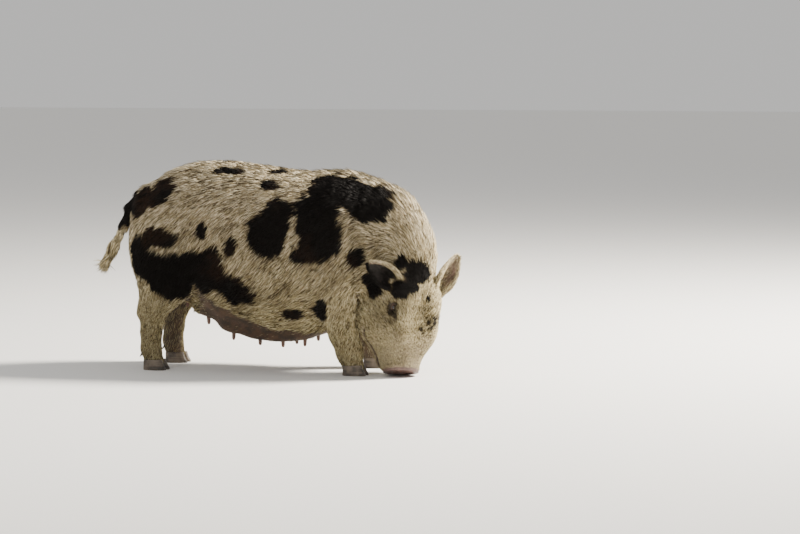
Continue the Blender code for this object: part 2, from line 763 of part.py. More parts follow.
def ear(side):
    """A cupped leaf with a thick root, standing in the head."""
    root, way, opening = EARS[side]
    along = HEAD_AXES @ Vector(way).normalized()
    open_way = HEAD_AXES @ Vector(opening)
    open_way = (open_way - along * open_way.dot(along)).normalized()
    across = along.cross(open_way)
    start = in_head(root)
    outer = []
    inner = []
    for share, half, radius in EAR:
        thickness = EAR_THICKNESS[0] + (EAR_THICKNESS[1] - EAR_THICKNESS[0]) * max(share, 0)
        sag = radius * (1 - math.cos(half / radius))
        centre = start + along * EAR_LENGTH * share
        centre = centre - open_way * (EAR_BEND * share**2 + 0.5 * sag)
        for k in range(EAR_ACROSS + 1):
            angle = (2 * k / EAR_ACROSS - 1) * half / radius
            lift = radius * (1 - math.cos(angle))
            place = centre + across * radius * math.sin(angle) + open_way * lift
            normal = open_way * math.cos(angle) - across * math.sin(angle)
            thin = thickness * (1 - 0.45 * abs(2 * k / EAR_ACROSS - 1))
            outer.append(place - normal * thin * 0.5)
            inner.append(place + normal * thin * 0.5)
    tip = start + along * EAR_LENGTH - open_way * EAR_BEND
    columns = EAR_ACROSS + 1
    rows = len(EAR)
    count = rows * columns
    vertices = outer + inner + [tip]
    faces = []
    for row in range(rows - 1):
        for k in range(EAR_ACROSS):
            a = row * columns + k
            b = a + columns
            faces.append((a, a + 1, b + 1, b))
            faces.append((count + a, count + b, count + b + 1, count + a + 1))
        for a in (row * columns, row * columns + EAR_ACROSS):
            faces.append((a, a + columns, count + a + columns, count + a))
    for k in range(EAR_ACROSS):
        faces.append((k, k + 1, count + k + 1, count + k))
        a = (rows - 1) * columns + k
        faces.append((a, a + 1, 2 * count))
        faces.append((count + a, count + a + 1, 2 * count))
    for a in ((rows - 1) * columns, rows * columns - 1):
        faces.append((a, count + a, 2 * count))
    return link(f"ear_{side}", mesh_of(vertices, faces))


def ball(name, place, radius, rings=8):
    bm = bmesh.new()
    bmesh.ops.create_uvsphere(bm, u_segments=2 * rings, v_segments=rings, radius=radius)
    bmesh.ops.triangulate(bm, faces=bm.faces)
    mesh = bpy.data.meshes.new(name)
    bm.to_mesh(mesh)
    bm.free()
    shape = link(name, mesh)
    shape.data.transform(Matrix.Translation(place))
    return shape


def lid_wedge(place, mirror):
    """A cone from the middle of the eyeball with an almond section."""
    look = HEAD_AXES @ Vector((EYE_LOOK[0], EYE_LOOK[1] * mirror, EYE_LOOK[2])).normalized()
    along = HEAD_AXES @ Vector((0.94, 0, -0.34))
    along = (along - look * along.dot(look)).normalized()
    across = look.cross(along)
    reach = 1.9
    vertices = [place - look * 0.001]
    steps = 10
    for k in range(steps):
        angle = 2 * math.pi * k / steps
        s = math.cos(angle)
        c = math.sin(angle) * (1 - 0.35 * abs(s))
        rim = look * LID_RADIUS + along * LID_OPENING[0] * s + across * LID_OPENING[1] * c
        vertices.append(place + rim * reach)
    faces = [(0, k + 1, (k + 1) % steps + 1) for k in range(steps)]
    faces.append(tuple(range(1, steps + 1)))
    return link("wedge", mesh_of(vertices, faces))


def claw(name, x, y, outward):
    """One claw: a flat sole, a rounded toe and a wall that leans back to the leg."""
    steps = 12
    vertices = []
    faces = []
    for share, length, width, back in CLAW:
        for k in range(steps):
            angle = 2 * math.pi * k / steps
            along = math.copysign(abs(math.cos(angle)) ** 0.85, math.cos(angle))
            side = math.copysign(abs(math.sin(angle)) ** 0.7, math.sin(angle))
            inner_flat = 0.86 if side * outward < 0 else 1.0
            taper = 1 - 0.25 * max(along, 0)
            place = (
                x + CLAW_FORWARD + back + along * length * 0.5,
                y + outward * (CLAW_CLEFT + width) * 0.5 + side * inner_flat * taper * width * 0.5,
                share * HOOF_TOP,
            )
            vertices.append(place)
    rings = len(CLAW)
    faces.append(tuple(range(steps)))
    faces.append(tuple(range((rings - 1) * steps, rings * steps)))
    for ring in range(rings - 1):
        for k in range(steps):
            a = ring * steps + k
            b = ring * steps + (k + 1) % steps
            faces.append((a, b, b + steps, a + steps))
    return link(name, mesh_of(vertices, faces))


def dewclaw(name, x, y, outward):
    """A small horn that hangs behind the foot, its root in the flesh."""
    rings = 8
    vertices = []
    faces = []
    for (back, height), radius in DEWCLAW:
        centre = Vector((x - DEWCLAW_BACK + back, y + outward * DEWCLAW_OUT, height))
        for k in range(rings):
            angle = 2 * math.pi * k / rings
            move = Vector((0.75 * math.cos(angle), math.sin(angle), 0.45 * math.cos(angle)))
            vertices.append(centre + move * radius)
    faces.append(tuple(range(rings)))
    faces.append(tuple(range(2 * rings, 3 * rings)))
    for ring in range(2):
        for k in range(rings):
            a = ring * rings + k
            b = ring * rings + (k + 1) % rings
            faces.append((a, b, b + rings, a + rings))
    return link(name, mesh_of(vertices, faces))


def build():
    for shape in list(bpy.data.objects):
        bpy.data.objects.remove(shape, do_unlink=True)
    parts = {name: part_of_flesh(name) for name in PIECES}

    # eyes in their sockets
    for side, mirror in (("left", 1), ("right", -1)):
        place = in_head((EYE_PLACE[0], EYE_PLACE[1] * mirror, EYE_PLACE[2]))
        boolean(parts["head"], lid_wedge(place, mirror), "DIFFERENCE")
        boolean(parts["head"], ball("socket", place, EYE_RADIUS + SOCKET_CLEAR), "DIFFERENCE")
        parts[f"eye_{side}"] = ball(f"eye_{side}", place, EYE_RADIUS)
    keep_largest(parts["head"])

    # locks are one with the flesh under them
    for name, locks in crest_locks().items():
        joined_with(parts[name], locks)
        keep_largest(parts[name])
    joined_with(parts["tail"], tassel_locks())
    keep_largest(parts["tail"])

    # ears stand on the finished head
    for side in EARS:
        parts[f"ear_{side}"] = ear(side)
        for other in ("head", "neck"):
            boolean(parts[f"ear_{side}"], grown_copy(parts[other], EAR_CLEAR), "DIFFERENCE")
        keep_largest(parts[f"ear_{side}"])

    # claws and dewclaws
    for end, chain in (("front", FORELEG), ("hind", HINDLEG)):
        for side, mirror in (("left", 1), ("right", -1)):
            step = LEFT_HIND_STEP if (end, side) == ("hind", "left") else 0
            x = chain[-1][0][0] + step
            y = chain[-1][0][1] * mirror
            for which, outward in (("inner", -mirror), ("outer", mirror)):
                name = f"claw_{end}_{side}_{which}"
                parts[name] = claw(name, x, y, outward)
                name = f"dewclaw_{end}_{side}_{which}"
                parts[name] = dewclaw(name, x, y, outward)
                grown = grown_copy(parts[name], DEWCLAW_CLEAR)
                boolean(parts[f"leg_{end}_{side}"], grown, "DIFFERENCE")
            keep_largest(parts[f"leg_{end}_{side}"])

    for name, shape in parts.items():
        shape.name = name
        kind = "cream"
        if name == "snout":
            kind = "skin"
        elif name.startswith("eye"):
            kind = "eye"
        elif "claw" in name:
            kind = "horn"
        elif name in ("tail", "ear_right"):
            kind = "black"
        colour(shape, kind)

    # the middle of the whole footprint is the origin
    corners = [shape.matrix_world @ Vector(c) for shape in parts.values() for c in shape.bound_box]
    low = Vector([min(c[i] for c in corners) for i in range(3)])
    high = Vector([max(c[i] for c in corners) for i in range(3)])
    shift = Matrix.Translation((-(low.x + high.x) / 2, -(low.y + high.y) / 2, -low.z))
    for shape in parts.values():
        shape.data.transform(shift)
        shape.data.update()


build()
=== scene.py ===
import json
import math

import bmesh
import bpy
import numpy as np
import openvdb
from mathutils import Matrix, Vector

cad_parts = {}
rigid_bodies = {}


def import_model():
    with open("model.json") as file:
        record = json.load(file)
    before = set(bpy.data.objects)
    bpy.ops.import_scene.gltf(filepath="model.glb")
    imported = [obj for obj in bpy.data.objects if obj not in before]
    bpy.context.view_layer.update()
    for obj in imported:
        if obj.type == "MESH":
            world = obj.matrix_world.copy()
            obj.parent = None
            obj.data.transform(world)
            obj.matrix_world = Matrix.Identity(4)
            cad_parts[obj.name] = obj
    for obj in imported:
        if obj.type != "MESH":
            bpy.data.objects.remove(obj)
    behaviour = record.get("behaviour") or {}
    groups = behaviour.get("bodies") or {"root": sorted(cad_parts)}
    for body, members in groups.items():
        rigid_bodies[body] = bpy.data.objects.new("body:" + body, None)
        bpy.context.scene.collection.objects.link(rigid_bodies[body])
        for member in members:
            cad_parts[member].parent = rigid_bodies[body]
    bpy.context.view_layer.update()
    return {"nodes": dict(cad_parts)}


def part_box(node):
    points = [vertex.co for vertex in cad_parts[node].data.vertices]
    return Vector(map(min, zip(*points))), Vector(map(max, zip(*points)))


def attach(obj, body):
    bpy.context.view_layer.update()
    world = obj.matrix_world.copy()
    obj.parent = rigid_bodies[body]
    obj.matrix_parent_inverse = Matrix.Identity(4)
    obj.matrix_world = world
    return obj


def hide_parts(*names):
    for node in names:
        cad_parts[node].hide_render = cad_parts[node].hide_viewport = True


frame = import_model()

# The sow faces +X, her left side is +Y. Her form is a field, negative inside, worked out from the
# same sizes as the solids, so the skin lies just under them.
body = {
    # x, top, bottom, half width, height of the greatest width
    "torso": [
        (-0.300, 0.466, 0.215, 0.112, 0.335), (-0.250, 0.498, 0.200, 0.136, 0.330),
        (-0.180, 0.516, 0.160, 0.156, 0.315), (-0.110, 0.518, 0.110, 0.176, 0.298),
        (-0.030, 0.511, 0.086, 0.190, 0.285), (0.050, 0.499, 0.080, 0.193, 0.280),
        (0.120, 0.491, 0.090, 0.184, 0.285), (0.190, 0.485, 0.125, 0.166, 0.300),
        (0.250, 0.464, 0.170, 0.146, 0.315),
    ],
    "rumpRound": 0.060,
    "chestRound": 0.070,
    "power": 2.2,
    "neck": [((0.215, 0.0, 0.332), 0.148), ((0.280, -0.010, 0.326), 0.128),
             ((0.324, -0.028, 0.292), 0.104)],
    # centre, radii, tilt in degrees, blend
    "masses": [((0.170, 0.108, 0.325), (0.075, 0.058, 0.130), 18, 0.060),
               ((-0.224, 0.098, 0.315), (0.090, 0.062, 0.140), 26, 0.050),
               ((-0.205, 0.122, 0.235), (0.045, 0.038, 0.060), 20, 0.030)],
    "hollows": [((-0.140, 0.208, 0.300), (0.040, 0.034, 0.090), 20, 0.050),
                ((0.085, 0.221, 0.340), (0.035, 0.034, 0.100), 12, 0.050)],
    "tail": [((-0.335, 0.0, 0.430), 0.017), ((-0.366, 0.001, 0.400), 0.0135),
             ((-0.388, 0.004, 0.358), 0.0100), ((-0.412, 0.006, 0.312), 0.0078),
             ((-0.437, 0.006, 0.266), 0.0052)],
    "blends": {"neck": 0.040, "head": 0.040, "tail": 0.008},
    # the head's blend into the body: its least, what is added, and the heights between
    "throat": (0.002, 0.050, 0.165, 0.275),
}
legs = {
    "front": [((0.190, 0.105, 0.300), 0.072), ((0.197, 0.108, 0.240), 0.062),
              ((0.205, 0.107, 0.190), 0.047), ((0.212, 0.103, 0.150), 0.0375),
              ((0.219, 0.100, 0.105), 0.0335), ((0.234, 0.097, 0.058), 0.0300),
              ((0.243, 0.095, 0.022), 0.0255)],
    "hind": [((-0.222, 0.095, 0.310), 0.080), ((-0.226, 0.112, 0.245), 0.062),
             ((-0.254, 0.106, 0.195), 0.049), ((-0.278, 0.100, 0.145), 0.0315),
             ((-0.282, 0.097, 0.095), 0.0235), ((-0.284, 0.095, 0.055), 0.0225),
             ((-0.276, 0.094, 0.022), 0.0245)],
    "hock": [((-0.290, 0.100, 0.170), 0.020), ((-0.300, 0.100, 0.148), 0.015)],
    "leftHindStep": -0.008,
    "sole": 0.010,
    "blend": 0.030, "hockBlend": 0.020,
}
udder = {
    "places": (-0.200, -0.145, -0.078, -0.010, 0.050, 0.108),
    "out": 0.056,
    "gland": (0.032, 0.028, 0.018),
    # the teats start this deep inside the skin, and each differs a little in length and way
    "teatLength": 0.019, "teatRadius": 0.0052, "rootLength": 0.006, "rootDepth": 0.002,
    "longer": 0.12, "forward": 0.05, "outwards": 0.13,
    "glandUp": 0.011, "glandBlend": 0.034,
    # share of the length and width of each ring of a teat
    "rings": [(0.0, 1.35), (0.16, 1.10), (0.45, 0.95), (0.75, 0.92), (0.92, 0.70), (1.0, 0.36)],
    "around": 12,
}
head = {
    "nod": 78, "turn": 33, "lean": 10.5, "length": 0.280,
    "snoutEnd": (0.363, -0.095, 0.0095),
    # distance from the poll, height above the axis, depth below it, half width
    "sections": [
        (0.000, 0.064, 0.085, 0.076), (0.040, 0.073, 0.098, 0.090), (0.085, 0.080, 0.100, 0.098),
        (0.130, 0.077, 0.093, 0.097), (0.170, 0.077, 0.086, 0.097), (0.210, 0.068, 0.072, 0.082),
        (0.245, 0.052, 0.052, 0.055), (0.268, 0.043, 0.040, 0.041),
    ],
    "pollRound": 0.050,
    "snoutRound": 0.010,
    "masses": [((0.142, 0.060, -0.028), (0.058, 0.038, 0.042), 0, 0.030),
               ((0.125, 0.070, 0.005), (0.048, 0.024, 0.034), 0, 0.025),
               ((0.104, 0.042, 0.050), (0.042, 0.032, 0.024), 0, 0.030),
               ((0.225, 0.026, -0.030), (0.045, 0.026, 0.022), 0, 0.020)],
    "hollows": [((0.195, 0.000, 0.110), (0.058, 0.034, 0.036), 0, 0.040),
                ((0.240, 0.080, 0.004), (0.028, 0.018, 0.026), 0, 0.030)],
}
snout = {
    "disc": 0.0424, "back": 0.268, "broader": 1.06, "lower": 0.002, "discBlend": 0.009,
    "nostril": (0.281, 0.0145, 0.001), "nostrilRadii": (0.014, 0.0058, 0.0082), "nostrilReach": 0.02,
    "mouth": [(0.172, -0.022), (0.200, -0.034), (0.230, -0.034), (0.262, -0.030)],
    "mouthDepth": 0.0048, "edgeBlend": 0.002,
}
eye = {
    "place": (0.132, 0.0610, 0.0490), "radius": 0.0105, "lid": 0.0134,
    "look": (0.16, 0.82, 0.55), "along": (0.94, 0.0, -0.34), "opening": (0.0122, 0.0062),
    "reach": 0.045, "blend": 0.008, "edgeBlend": 0.0012, "taper": 0.35,
    # folds that run round the lids
    "folds": {"longer": 1.25, "first": 0.0165, "apart": 0.0085, "depth": 0.0009,
              "middle": 0.019, "spread": 0.008},
    # the cornea: how far it bulges, and over what angle
    "cornea": (0.0009, 0.75, 2.1),
    # the lids' own opening: half its length, height of the upper and lower edge
    "almond": (0.0104, 0.0043, 0.0030), "around": 56,
    # distance out from the opening's edge, and from the middle of the eyeball
    "lidRings": [(0.0, 0.01075), (0.0004, 0.0122), (0.0013, 0.0129), (0.0024, 0.0131), (0.0034, 0.0124),
                 (0.0042, 0.0127), (0.0053, 0.0129), (0.0064, 0.0120), (0.0074, 0.0121), (0.0086, 0.0117),
                 (0.0100, 0.0104), (0.0080, 0.0088), (0.0020, 0.0086), (0.0, 0.0094)],
    # lashes: their number, length, width, where their roots stand, and how far middle and tip bend
    "lashes": 26, "lash": (0.0075, 0.00042), "lashRoot": (0.0006, 0.0122), "lashBend": (0.0012, 0.0022),
    # they run along this share of the upper edge, fan out, droop and stray
    "lashSpan": (0.10, 0.80), "lashFan": 0.55, "lashDroop": 0.30, "lashStray": 0.10,
}
ears = {
    "length": 0.094,
    # root, the way it points, the way it opens
    "earLeft": ((0.068, 0.073, 0.060), (-0.86, 0.376, 0.527), (0.35, 0.0, 0.93)),
    "earRight": ((0.072, -0.069, 0.057), (-0.32, -0.92, 0.15), (0.50, -0.19, 0.85)),
    "names": ("earLeft", "earRight"),
    # share of the length, half width, radius of the cup
    "sections": [(-0.16, 0.022, 0.016), (0.0, 0.0265, 0.019), (0.20, 0.031, 0.027),
                 (0.42, 0.030, 0.034), (0.64, 0.0235, 0.042), (0.84, 0.0145, 0.050),
                 (0.96, 0.0065, 0.056)],
    "bend": 0.012,
    "thickness": (0.0062, 0.0034),
}

# How deep the skin lies under the solids: by the coat's depth, and not at all on the snout
coatDepth = {
    "body": 0.0062, "face": 0.0022, "legs": 0.0022, "belly": 0.0012, "tail": 0.0016,
    "legsBelow": (0.10, 0.24), "bellyBelow": (0.10, 0.15), "bellyFrom": (-0.22, -0.16),
    "faceFrom": (0.02, 0.10), "snoutFrom": (0.245, 0.262),
}
# Shallow folds of the face, which fade in and out along the head (x) and over its height (z)
creases = {
    "begin": (0.03, 0.07), "end": (0.268, 0.255),
    # depth; waves by x, z and distance out; wobble and its waves by y and x; share that breaks up;
    # fades by z, where x begins, where x ends
    "folds": [
        (0.0012, (330, 0, 14), (1.2, 60, 0), 0.0, (0.03, 0.05), (0.05, 0.08), (0.135, 0.11)),
        (0.0011, (400, 0, -22), (1.6, 90, 40), 0.35, (-0.02, 0.02), (0.175, 0.200), (0.262, 0.248)),
        (0.0014, (143, -260, 0), (1.5, 0, 55), 0.0, (0.02, -0.03), (0.06, 0.10), (0.21, 0.17)),
    ],
    "breaks": (150, 60),
}
skinForm = {
    # soft folds above the line of the belly: a chain of places and radii
    "flank": [((-0.150, 0.144, 0.264), 0.011), ((-0.114, 0.154, 0.214), 0.010),
              ((-0.070, 0.155, 0.180), 0.007)],
    "flankBlend": 0.026, "tailBlend": 0.016, "earBlend": 0.010, "earReach": 1.15,
    # forward of this the skin may reach the ground, which it meets in a flat
    "snoutFrom": 0.285, "ground": 0.0003,
    # start of each span and its cell: fine over the head, wider elsewhere
    "grid": [((-0.480, 0.0066), (0.250, 0.0031), (0.500, 0)),
             ((-0.215, 0.0031), (0.075, 0.0066), (0.215, 0)),
             ((-0.006, 0.0031), (0.345, 0.0062), (0.545, 0))],
    # every third place is tried first, then all those within this many cells of the surface
    "coarse": 3, "near": 4.2, "reach": 0.02,
    # each place is drawn this much of the way on to the surface itself; step for its slope
    "draw": 0.8, "slopeStep": 0.0012,
}


def headFrame():
    turned = (Matrix.Rotation(-math.radians(head["turn"]), 3, "Z")
              @ Matrix.Rotation(math.radians(head["nod"]), 3, "Y"))
    upright = turned @ Vector((0, 0, 1))
    axes = Matrix.Rotation(-math.radians(head["lean"]), 3, upright) @ turned
    return axes, Vector(head["snoutEnd"]) - axes @ Vector((head["length"], 0, 0))


headAxes, headOrigin = headFrame()
headTurn = np.array(headAxes)


def unit(v):
    return v / np.linalg.norm(v)


def onSide(place, mirror):
    return np.array(place) * (1, mirror, 1)


def inHead(place):
    return headOrigin + headAxes @ Vector(place)


def toHead(p):
    return (p - np.array(headOrigin)) @ headTurn


eyeLow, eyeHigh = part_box("eye_left")
shift = (eyeLow + eyeHigh) / 2 - inHead(eye["place"])
print("frame loaded, the sizes lie", [round(v, 5) for v in shift], "from the solids")


def smoothUnion(a, b, blend):
    share = np.clip(0.5 + 0.5 * (b - a) / blend, 0, 1)
    return b + (a - b) * share - blend * share * (1 - share)


def smoothStep(low, high, at):
    share = np.clip((at - low) / (high - low), 0, 1)
    return share * share * (3 - 2 * share)


def curveThrough(stations, at):
    table = np.array(stations)
    x, values = table[:, 0], table[:, 1:]
    slopes = np.gradient(values, x, axis=0)
    at = np.clip(at, x[0], x[-1])
    i = np.clip(np.searchsorted(x, at) - 1, 0, len(x) - 2)
    width = (x[i + 1] - x[i])[:, None]
    t = (at - x[i])[:, None] / width
    return (values[i] * (2 * t**3 - 3 * t**2 + 1) + slopes[i] * width * (t**3 - 2 * t**2 + t)
            + values[i + 1] * (3 * t**2 - 2 * t**3) + slopes[i + 1] * width * (t**3 - t**2))


def loftField(side, up, past, half, above, below, rounding):
    power = body["power"]
    height = np.where(up > 0, above, below)
    ratio = (np.abs(side / half) ** power + np.abs(up / height) ** power
             + np.abs(past / rounding) ** power) ** (1 / power)
    return np.sqrt(side**2 + up**2 + past**2) * (1 - 1 / np.maximum(ratio, 1e-3))


def ellipsoidField(p, centre, radii, tilt=0):
    turn = np.array(Matrix.Rotation(math.radians(tilt), 3, "Y"))
    offset = (p - np.array(centre)) @ turn
    scaled = np.linalg.norm(offset / np.array(radii), axis=1)
    squared = np.linalg.norm(offset / np.array(radii) ** 2, axis=1)
    return scaled * (scaled - 1) / np.maximum(squared, 1e-6)


def chainField(p, chain, blend=0.02):
    found = np.full(len(p), 1.0)
    for (start, r0), (end, r1) in zip(chain[:-1], chain[1:]):
        a = np.array(start)
        along = np.array(end) - a
        t = np.clip((p - a) @ along / (along @ along), 0, 1)
        d = np.linalg.norm(p - a - t[:, None] * along, axis=1) - (r0 + t * (r1 - r0))
        found = smoothUnion(found, d, blend)
    return found


def joinNear(found, p, centre, reach, blend, field, sign=1):
    i = np.flatnonzero(np.max(np.abs(p - np.array(centre)), axis=1) < reach + blend)
    if len(i):
        found[i] = sign * smoothUnion(sign * found[i], field(p[i]), blend)
    return found


def addMasses(found, p, masses, sign=1):
    for mirror in (-1, 1):
        for centre, radii, tilt, blend in masses:
            place = onSide(centre, mirror)
            form = lambda q: ellipsoidField(q, place, radii, tilt)
            found = joinNear(found, p, place, max(radii), blend, form, sign)
    return found


def bellyHeight(x, out):
    bottom, half, middle = curveThrough(body["torso"], np.array([x]))[0, 1:]
    share = (1 - (out / half) ** body["power"]) ** (1 / body["power"])
    return middle - (middle - bottom) * share


def torsoField(p):
    rows = np.array(body["torso"])
    top, bottom, half, middle = curveThrough(rows, p[:, 0]).T
    past = p[:, 0] - np.clip(p[:, 0], rows[0, 0], rows[-1, 0])
    rounding = np.where(past < 0, body["rumpRound"], body["chestRound"])
    found = loftField(p[:, 1], p[:, 2] - middle, past, half, top - middle, middle - bottom, rounding)
    for mirror in (-1, 1):
        for x in udder["places"]:
            place = np.array((x, mirror * udder["out"], bellyHeight(x, udder["out"])))
            form = lambda q: ellipsoidField(q, place + (0, 0, udder["glandUp"]), udder["gland"])
            found = joinNear(found, p, place, max(udder["gland"]), udder["glandBlend"], form)
    found = addMasses(found, p, body["masses"])
    return addMasses(found, p, body["hollows"], -1)


# The curved sheet of an ear: how far along it each place is, how far across, off, inside its edge
# and past its ends
def earSheet(local, name):
    root, way, opening = (Vector(v) for v in ears[name])
    along = way.normalized()
    openWay = (opening - along * opening.dot(along)).normalized()
    q = local - np.array(root)
    share = q @ np.array(along) / ears["length"]
    half, cup = curveThrough(ears["sections"], share).T
    across = q @ np.array(along.cross(openWay))
    out = q @ np.array(openWay) + ears["bend"] * np.clip(share, 0, 1.1) ** 2
    out = out + 0.5 * (cup * (1 - np.cos(half / cup)))
    first, last = ears["sections"][0][0], ears["sections"][-1][0]
    return {
        "share": share, "across": across, "off": np.hypot(across, cup - out) - cup,
        "inside": half - np.abs(np.arctan2(np.abs(across), cup - out)) * cup,
        "past": (share - np.clip(share, first, last)) * ears["length"], "opening": np.array(openWay),
    }


def earField(local, name):
    sheet = earSheet(local, name)
    thick = np.interp(sheet["share"], (0, 1), ears["thickness"])
    over = np.maximum(-sheet["inside"], 0)
    return np.sqrt(sheet["off"] ** 2 + over**2 + sheet["past"] ** 2) - thick * 0.5


def eyeAxes(mirror):
    look = Vector((eye["look"][0], eye["look"][1] * mirror, eye["look"][2])).normalized()
    along = Vector(eye["along"])
    along = (along - look * along.dot(look)).normalized()
    return look, along, look.cross(along)


def lidField(found, local, mirror):
    place = onSide(eye["place"], mirror)
    look, along, across = (np.array(v) for v in eyeAxes(mirror))
    near = np.flatnonzero(np.max(np.abs(local - place), axis=1) < eye["reach"])
    if not len(near):
        return found
    q = local[near] - place
    out, a, c = q @ look, q @ along, q @ across
    value = smoothUnion(found[near], np.linalg.norm(q, axis=1) - eye["lid"], eye["blend"])
    folds = eye["folds"]
    around = np.hypot(a / folds["longer"], c)
    fold = np.cos((around - folds["first"]) * 2 * math.pi / folds["apart"])
    spread = np.exp(-((around - folds["middle"]) / folds["spread"]) ** 2)
    value = value - folds["depth"] * fold * spread * (out > 0)
    # the almond opening widens away from the middle of the eyeball
    long, high = eye["opening"]
    wide = np.maximum(out, 0.001) / eye["lid"]
    s = a / (long * wide)
    ratio = np.sqrt(s**2 + (c / (high * wide * (1 - eye["taper"] * np.minimum(np.abs(s), 1)))) ** 2)
    opening = np.maximum((ratio - 1) * high * wide, -out)
    found[near] = -smoothUnion(-value, opening, eye["edgeBlend"])
    return found


def mouthHeight(local):
    return curveThrough(snout["mouth"], local[:, 0])[:, 0]


def headField(p):
    local = toHead(p)
    along = local[:, 0]
    rows = np.array(head["sections"])
    above, below, half = curveThrough(rows, along).T
    past = along - np.clip(along, rows[0, 0], rows[-1, 0])
    rounding = np.where(past < 0, head["pollRound"], head["snoutRound"])
    found = loftField(local[:, 1], local[:, 2], past, half, above, below, rounding)
    found = addMasses(found, local, head["masses"])
    found = addMasses(found, local, head["hollows"], -1)
    across = np.hypot(local[:, 1] / snout["broader"], local[:, 2] - snout["lower"]) - snout["disc"]
    thick = np.abs(along - (snout["back"] + head["length"]) / 2)
    disc = np.maximum(across, thick - (head["length"] - snout["back"]) / 2)
    found = smoothUnion(found, disc, snout["discBlend"])
    groove = np.hypot(found, local[:, 2] - mouthHeight(local)) - snout["mouthDepth"]
    first, last = snout["mouth"][0][0], snout["mouth"][-1][0]
    groove = np.maximum(np.maximum(groove, first - along), along - last)
    found = -smoothUnion(-found, groove, snout["edgeBlend"])
    for mirror in (-1, 1):
        found = lidField(found, local, mirror)
        place = onSide(snout["nostril"], mirror)
        form = lambda q: ellipsoidField(q, place, snout["nostrilRadii"])
        found = joinNear(found, local, place, snout["nostrilReach"], snout["edgeBlend"], form, -1)
    return found


def legField(p, name):
    step = np.where((name == "hind") & (p[:, 1] > 0), legs["leftHindStep"], 0.0)
    mirrored = np.stack([p[:, 0] - step, np.abs(p[:, 1]), p[:, 2]], axis=1)
    found = chainField(mirrored, legs[name])
    if name == "hind":
        found = smoothUnion(found, chainField(mirrored, legs["hock"]), legs["hockBlend"])
    return found


def bodyChain(p, name):
    return chainField(p, body[name], body["blends"][name])


def fleshField(p):
    whole = torsoField(p)
    for name in ("front", "hind"):
        whole = smoothUnion(whole, legField(p, name), legs["blend"])
    front = smoothUnion(bodyChain(p, "neck"), headField(p), body["blends"]["head"])
    least, more, low, high = body["throat"]
    return smoothUnion(whole, front, least + more * smoothStep(low, high, p[:, 2]))


def depthAt(p):
    local = toHead(p)
    x, out = local[:, 0], np.abs(local[:, 1])
    under = 1 - smoothStep(*coatDepth["bellyBelow"], p[:, 2])
    places = {
        "legs": 1 - smoothStep(*coatDepth["legsBelow"], p[:, 2]),
        "belly": under * smoothStep(*coatDepth["bellyFrom"], p[:, 0]) * (np.abs(p[:, 1]) < 0.2),
        "face": smoothStep(*coatDepth["faceFrom"], x) * (out < 0.17) * (local[:, 2] > -0.15),
    }
    deep = np.full(len(p), coatDepth["body"])
    for name, share in places.items():
        deep = deep + (coatDepth[name] - deep) * share
    return deep * (1 - smoothStep(*coatDepth["snoutFrom"], x) * (out < 0.08))


def wrinkles(p):
    x, y, z = toHead(p).T
    out = np.abs(y)
    total = np.zeros(len(p))
    for depth, (byX, byZ, byOut), (wobble, wobbleY, wobbleX), broken, *fades in creases["folds"]:
        fold = np.cos(x * byX + z * byZ + out * byOut + wobble * np.sin(y * wobbleY + x * wobbleX))
        fold = fold * (1 - broken + broken * np.sin(y * creases["breaks"][0] - x * creases["breaks"][1]))
        for fade, at in zip(fades, (z, x, x)):
            fold = fold * smoothStep(*fade, at)
        total = total + depth * fold
    onHead = smoothStep(*creases["begin"], x) * smoothStep(*creases["end"], x) * (out < 0.13) * (z > -0.13)
    return onHead * total


def skinField(p):
    mirrored = np.stack([p[:, 0], np.abs(p[:, 1]), p[:, 2]], axis=1)
    found = fleshField(p) + depthAt(p)
    found = smoothUnion(found, chainField(mirrored, skinForm["flank"]), skinForm["flankBlend"]) + wrinkles(p)
    found = smoothUnion(found, bodyChain(p, "tail") + coatDepth["tail"], skinForm["tailBlend"])
    # the snout is flat where it meets the ground, and the feet end inside the claws
    ground = np.where(p[:, 0] < skinForm["snoutFrom"], legs["sole"], skinForm["ground"])
    found = np.maximum(found, ground - p[:, 2])
    # the ears keep their thickness
    local = toHead(p)
    reach = ears["length"] * skinForm["earReach"]
    for name in ears["names"]:
        form = lambda q: earField(q, name)
        found = joinNear(found, local, ears[name][0], reach, skinForm["earBlend"], form)
    return found


# The skin's mesh
def gridLine(spans):
    places = []
    for (start, cell), (end, _) in zip(spans[:-1], spans[1:]):
        places.append(np.linspace(start, end, int(round((end - start) / cell)), endpoint=False))
    return np.concatenate(places)


def pointsOf(lines):
    return np.stack(np.meshgrid(*lines, indexing="ij"), axis=-1).reshape(-1, 3)


def makeSkin():
    lines = [gridLine(spans) for spans in skinForm["grid"]]
    counts = [len(line) for line in lines]
    step, reach = skinForm["coarse"], skinForm["reach"]
    rough = skinField(pointsOf([line[::step] for line in lines]))
    rough = rough.reshape([len(line[::step]) for line in lines])
    for axis in range(3):
        rough = rough.repeat(step, axis=axis)
    rough = rough[: counts[0], : counts[1], : counts[2]]
    gaps = np.ix_(*[np.gradient(line) for line in lines])
    size = np.sqrt(gaps[0] ** 2 + gaps[1] ** 2 + gaps[2] ** 2)
    close = np.flatnonzero((np.abs(rough) < skinForm["near"] * size).reshape(-1))
    spots = np.unravel_index(close, counts)
    points = np.stack([line[i] for line, i in zip(lines, spots)], axis=1)
    values = np.clip(rough.reshape(-1), -reach, reach)
    values[close] = np.clip(skinField(points), -reach, reach)
    grid = openvdb.FloatGrid(1.0)
    grid.copyFromArray(values.reshape(counts).astype(np.float32))
    found, quads = grid.convertToQuads(0.0)
    places = [np.interp(found[:, a], np.arange(counts[a]), lines[a]) for a in range(3)]
    print("skin field worked out at", len(close), "points")
    return np.stack(places, axis=1), np.array(quads)


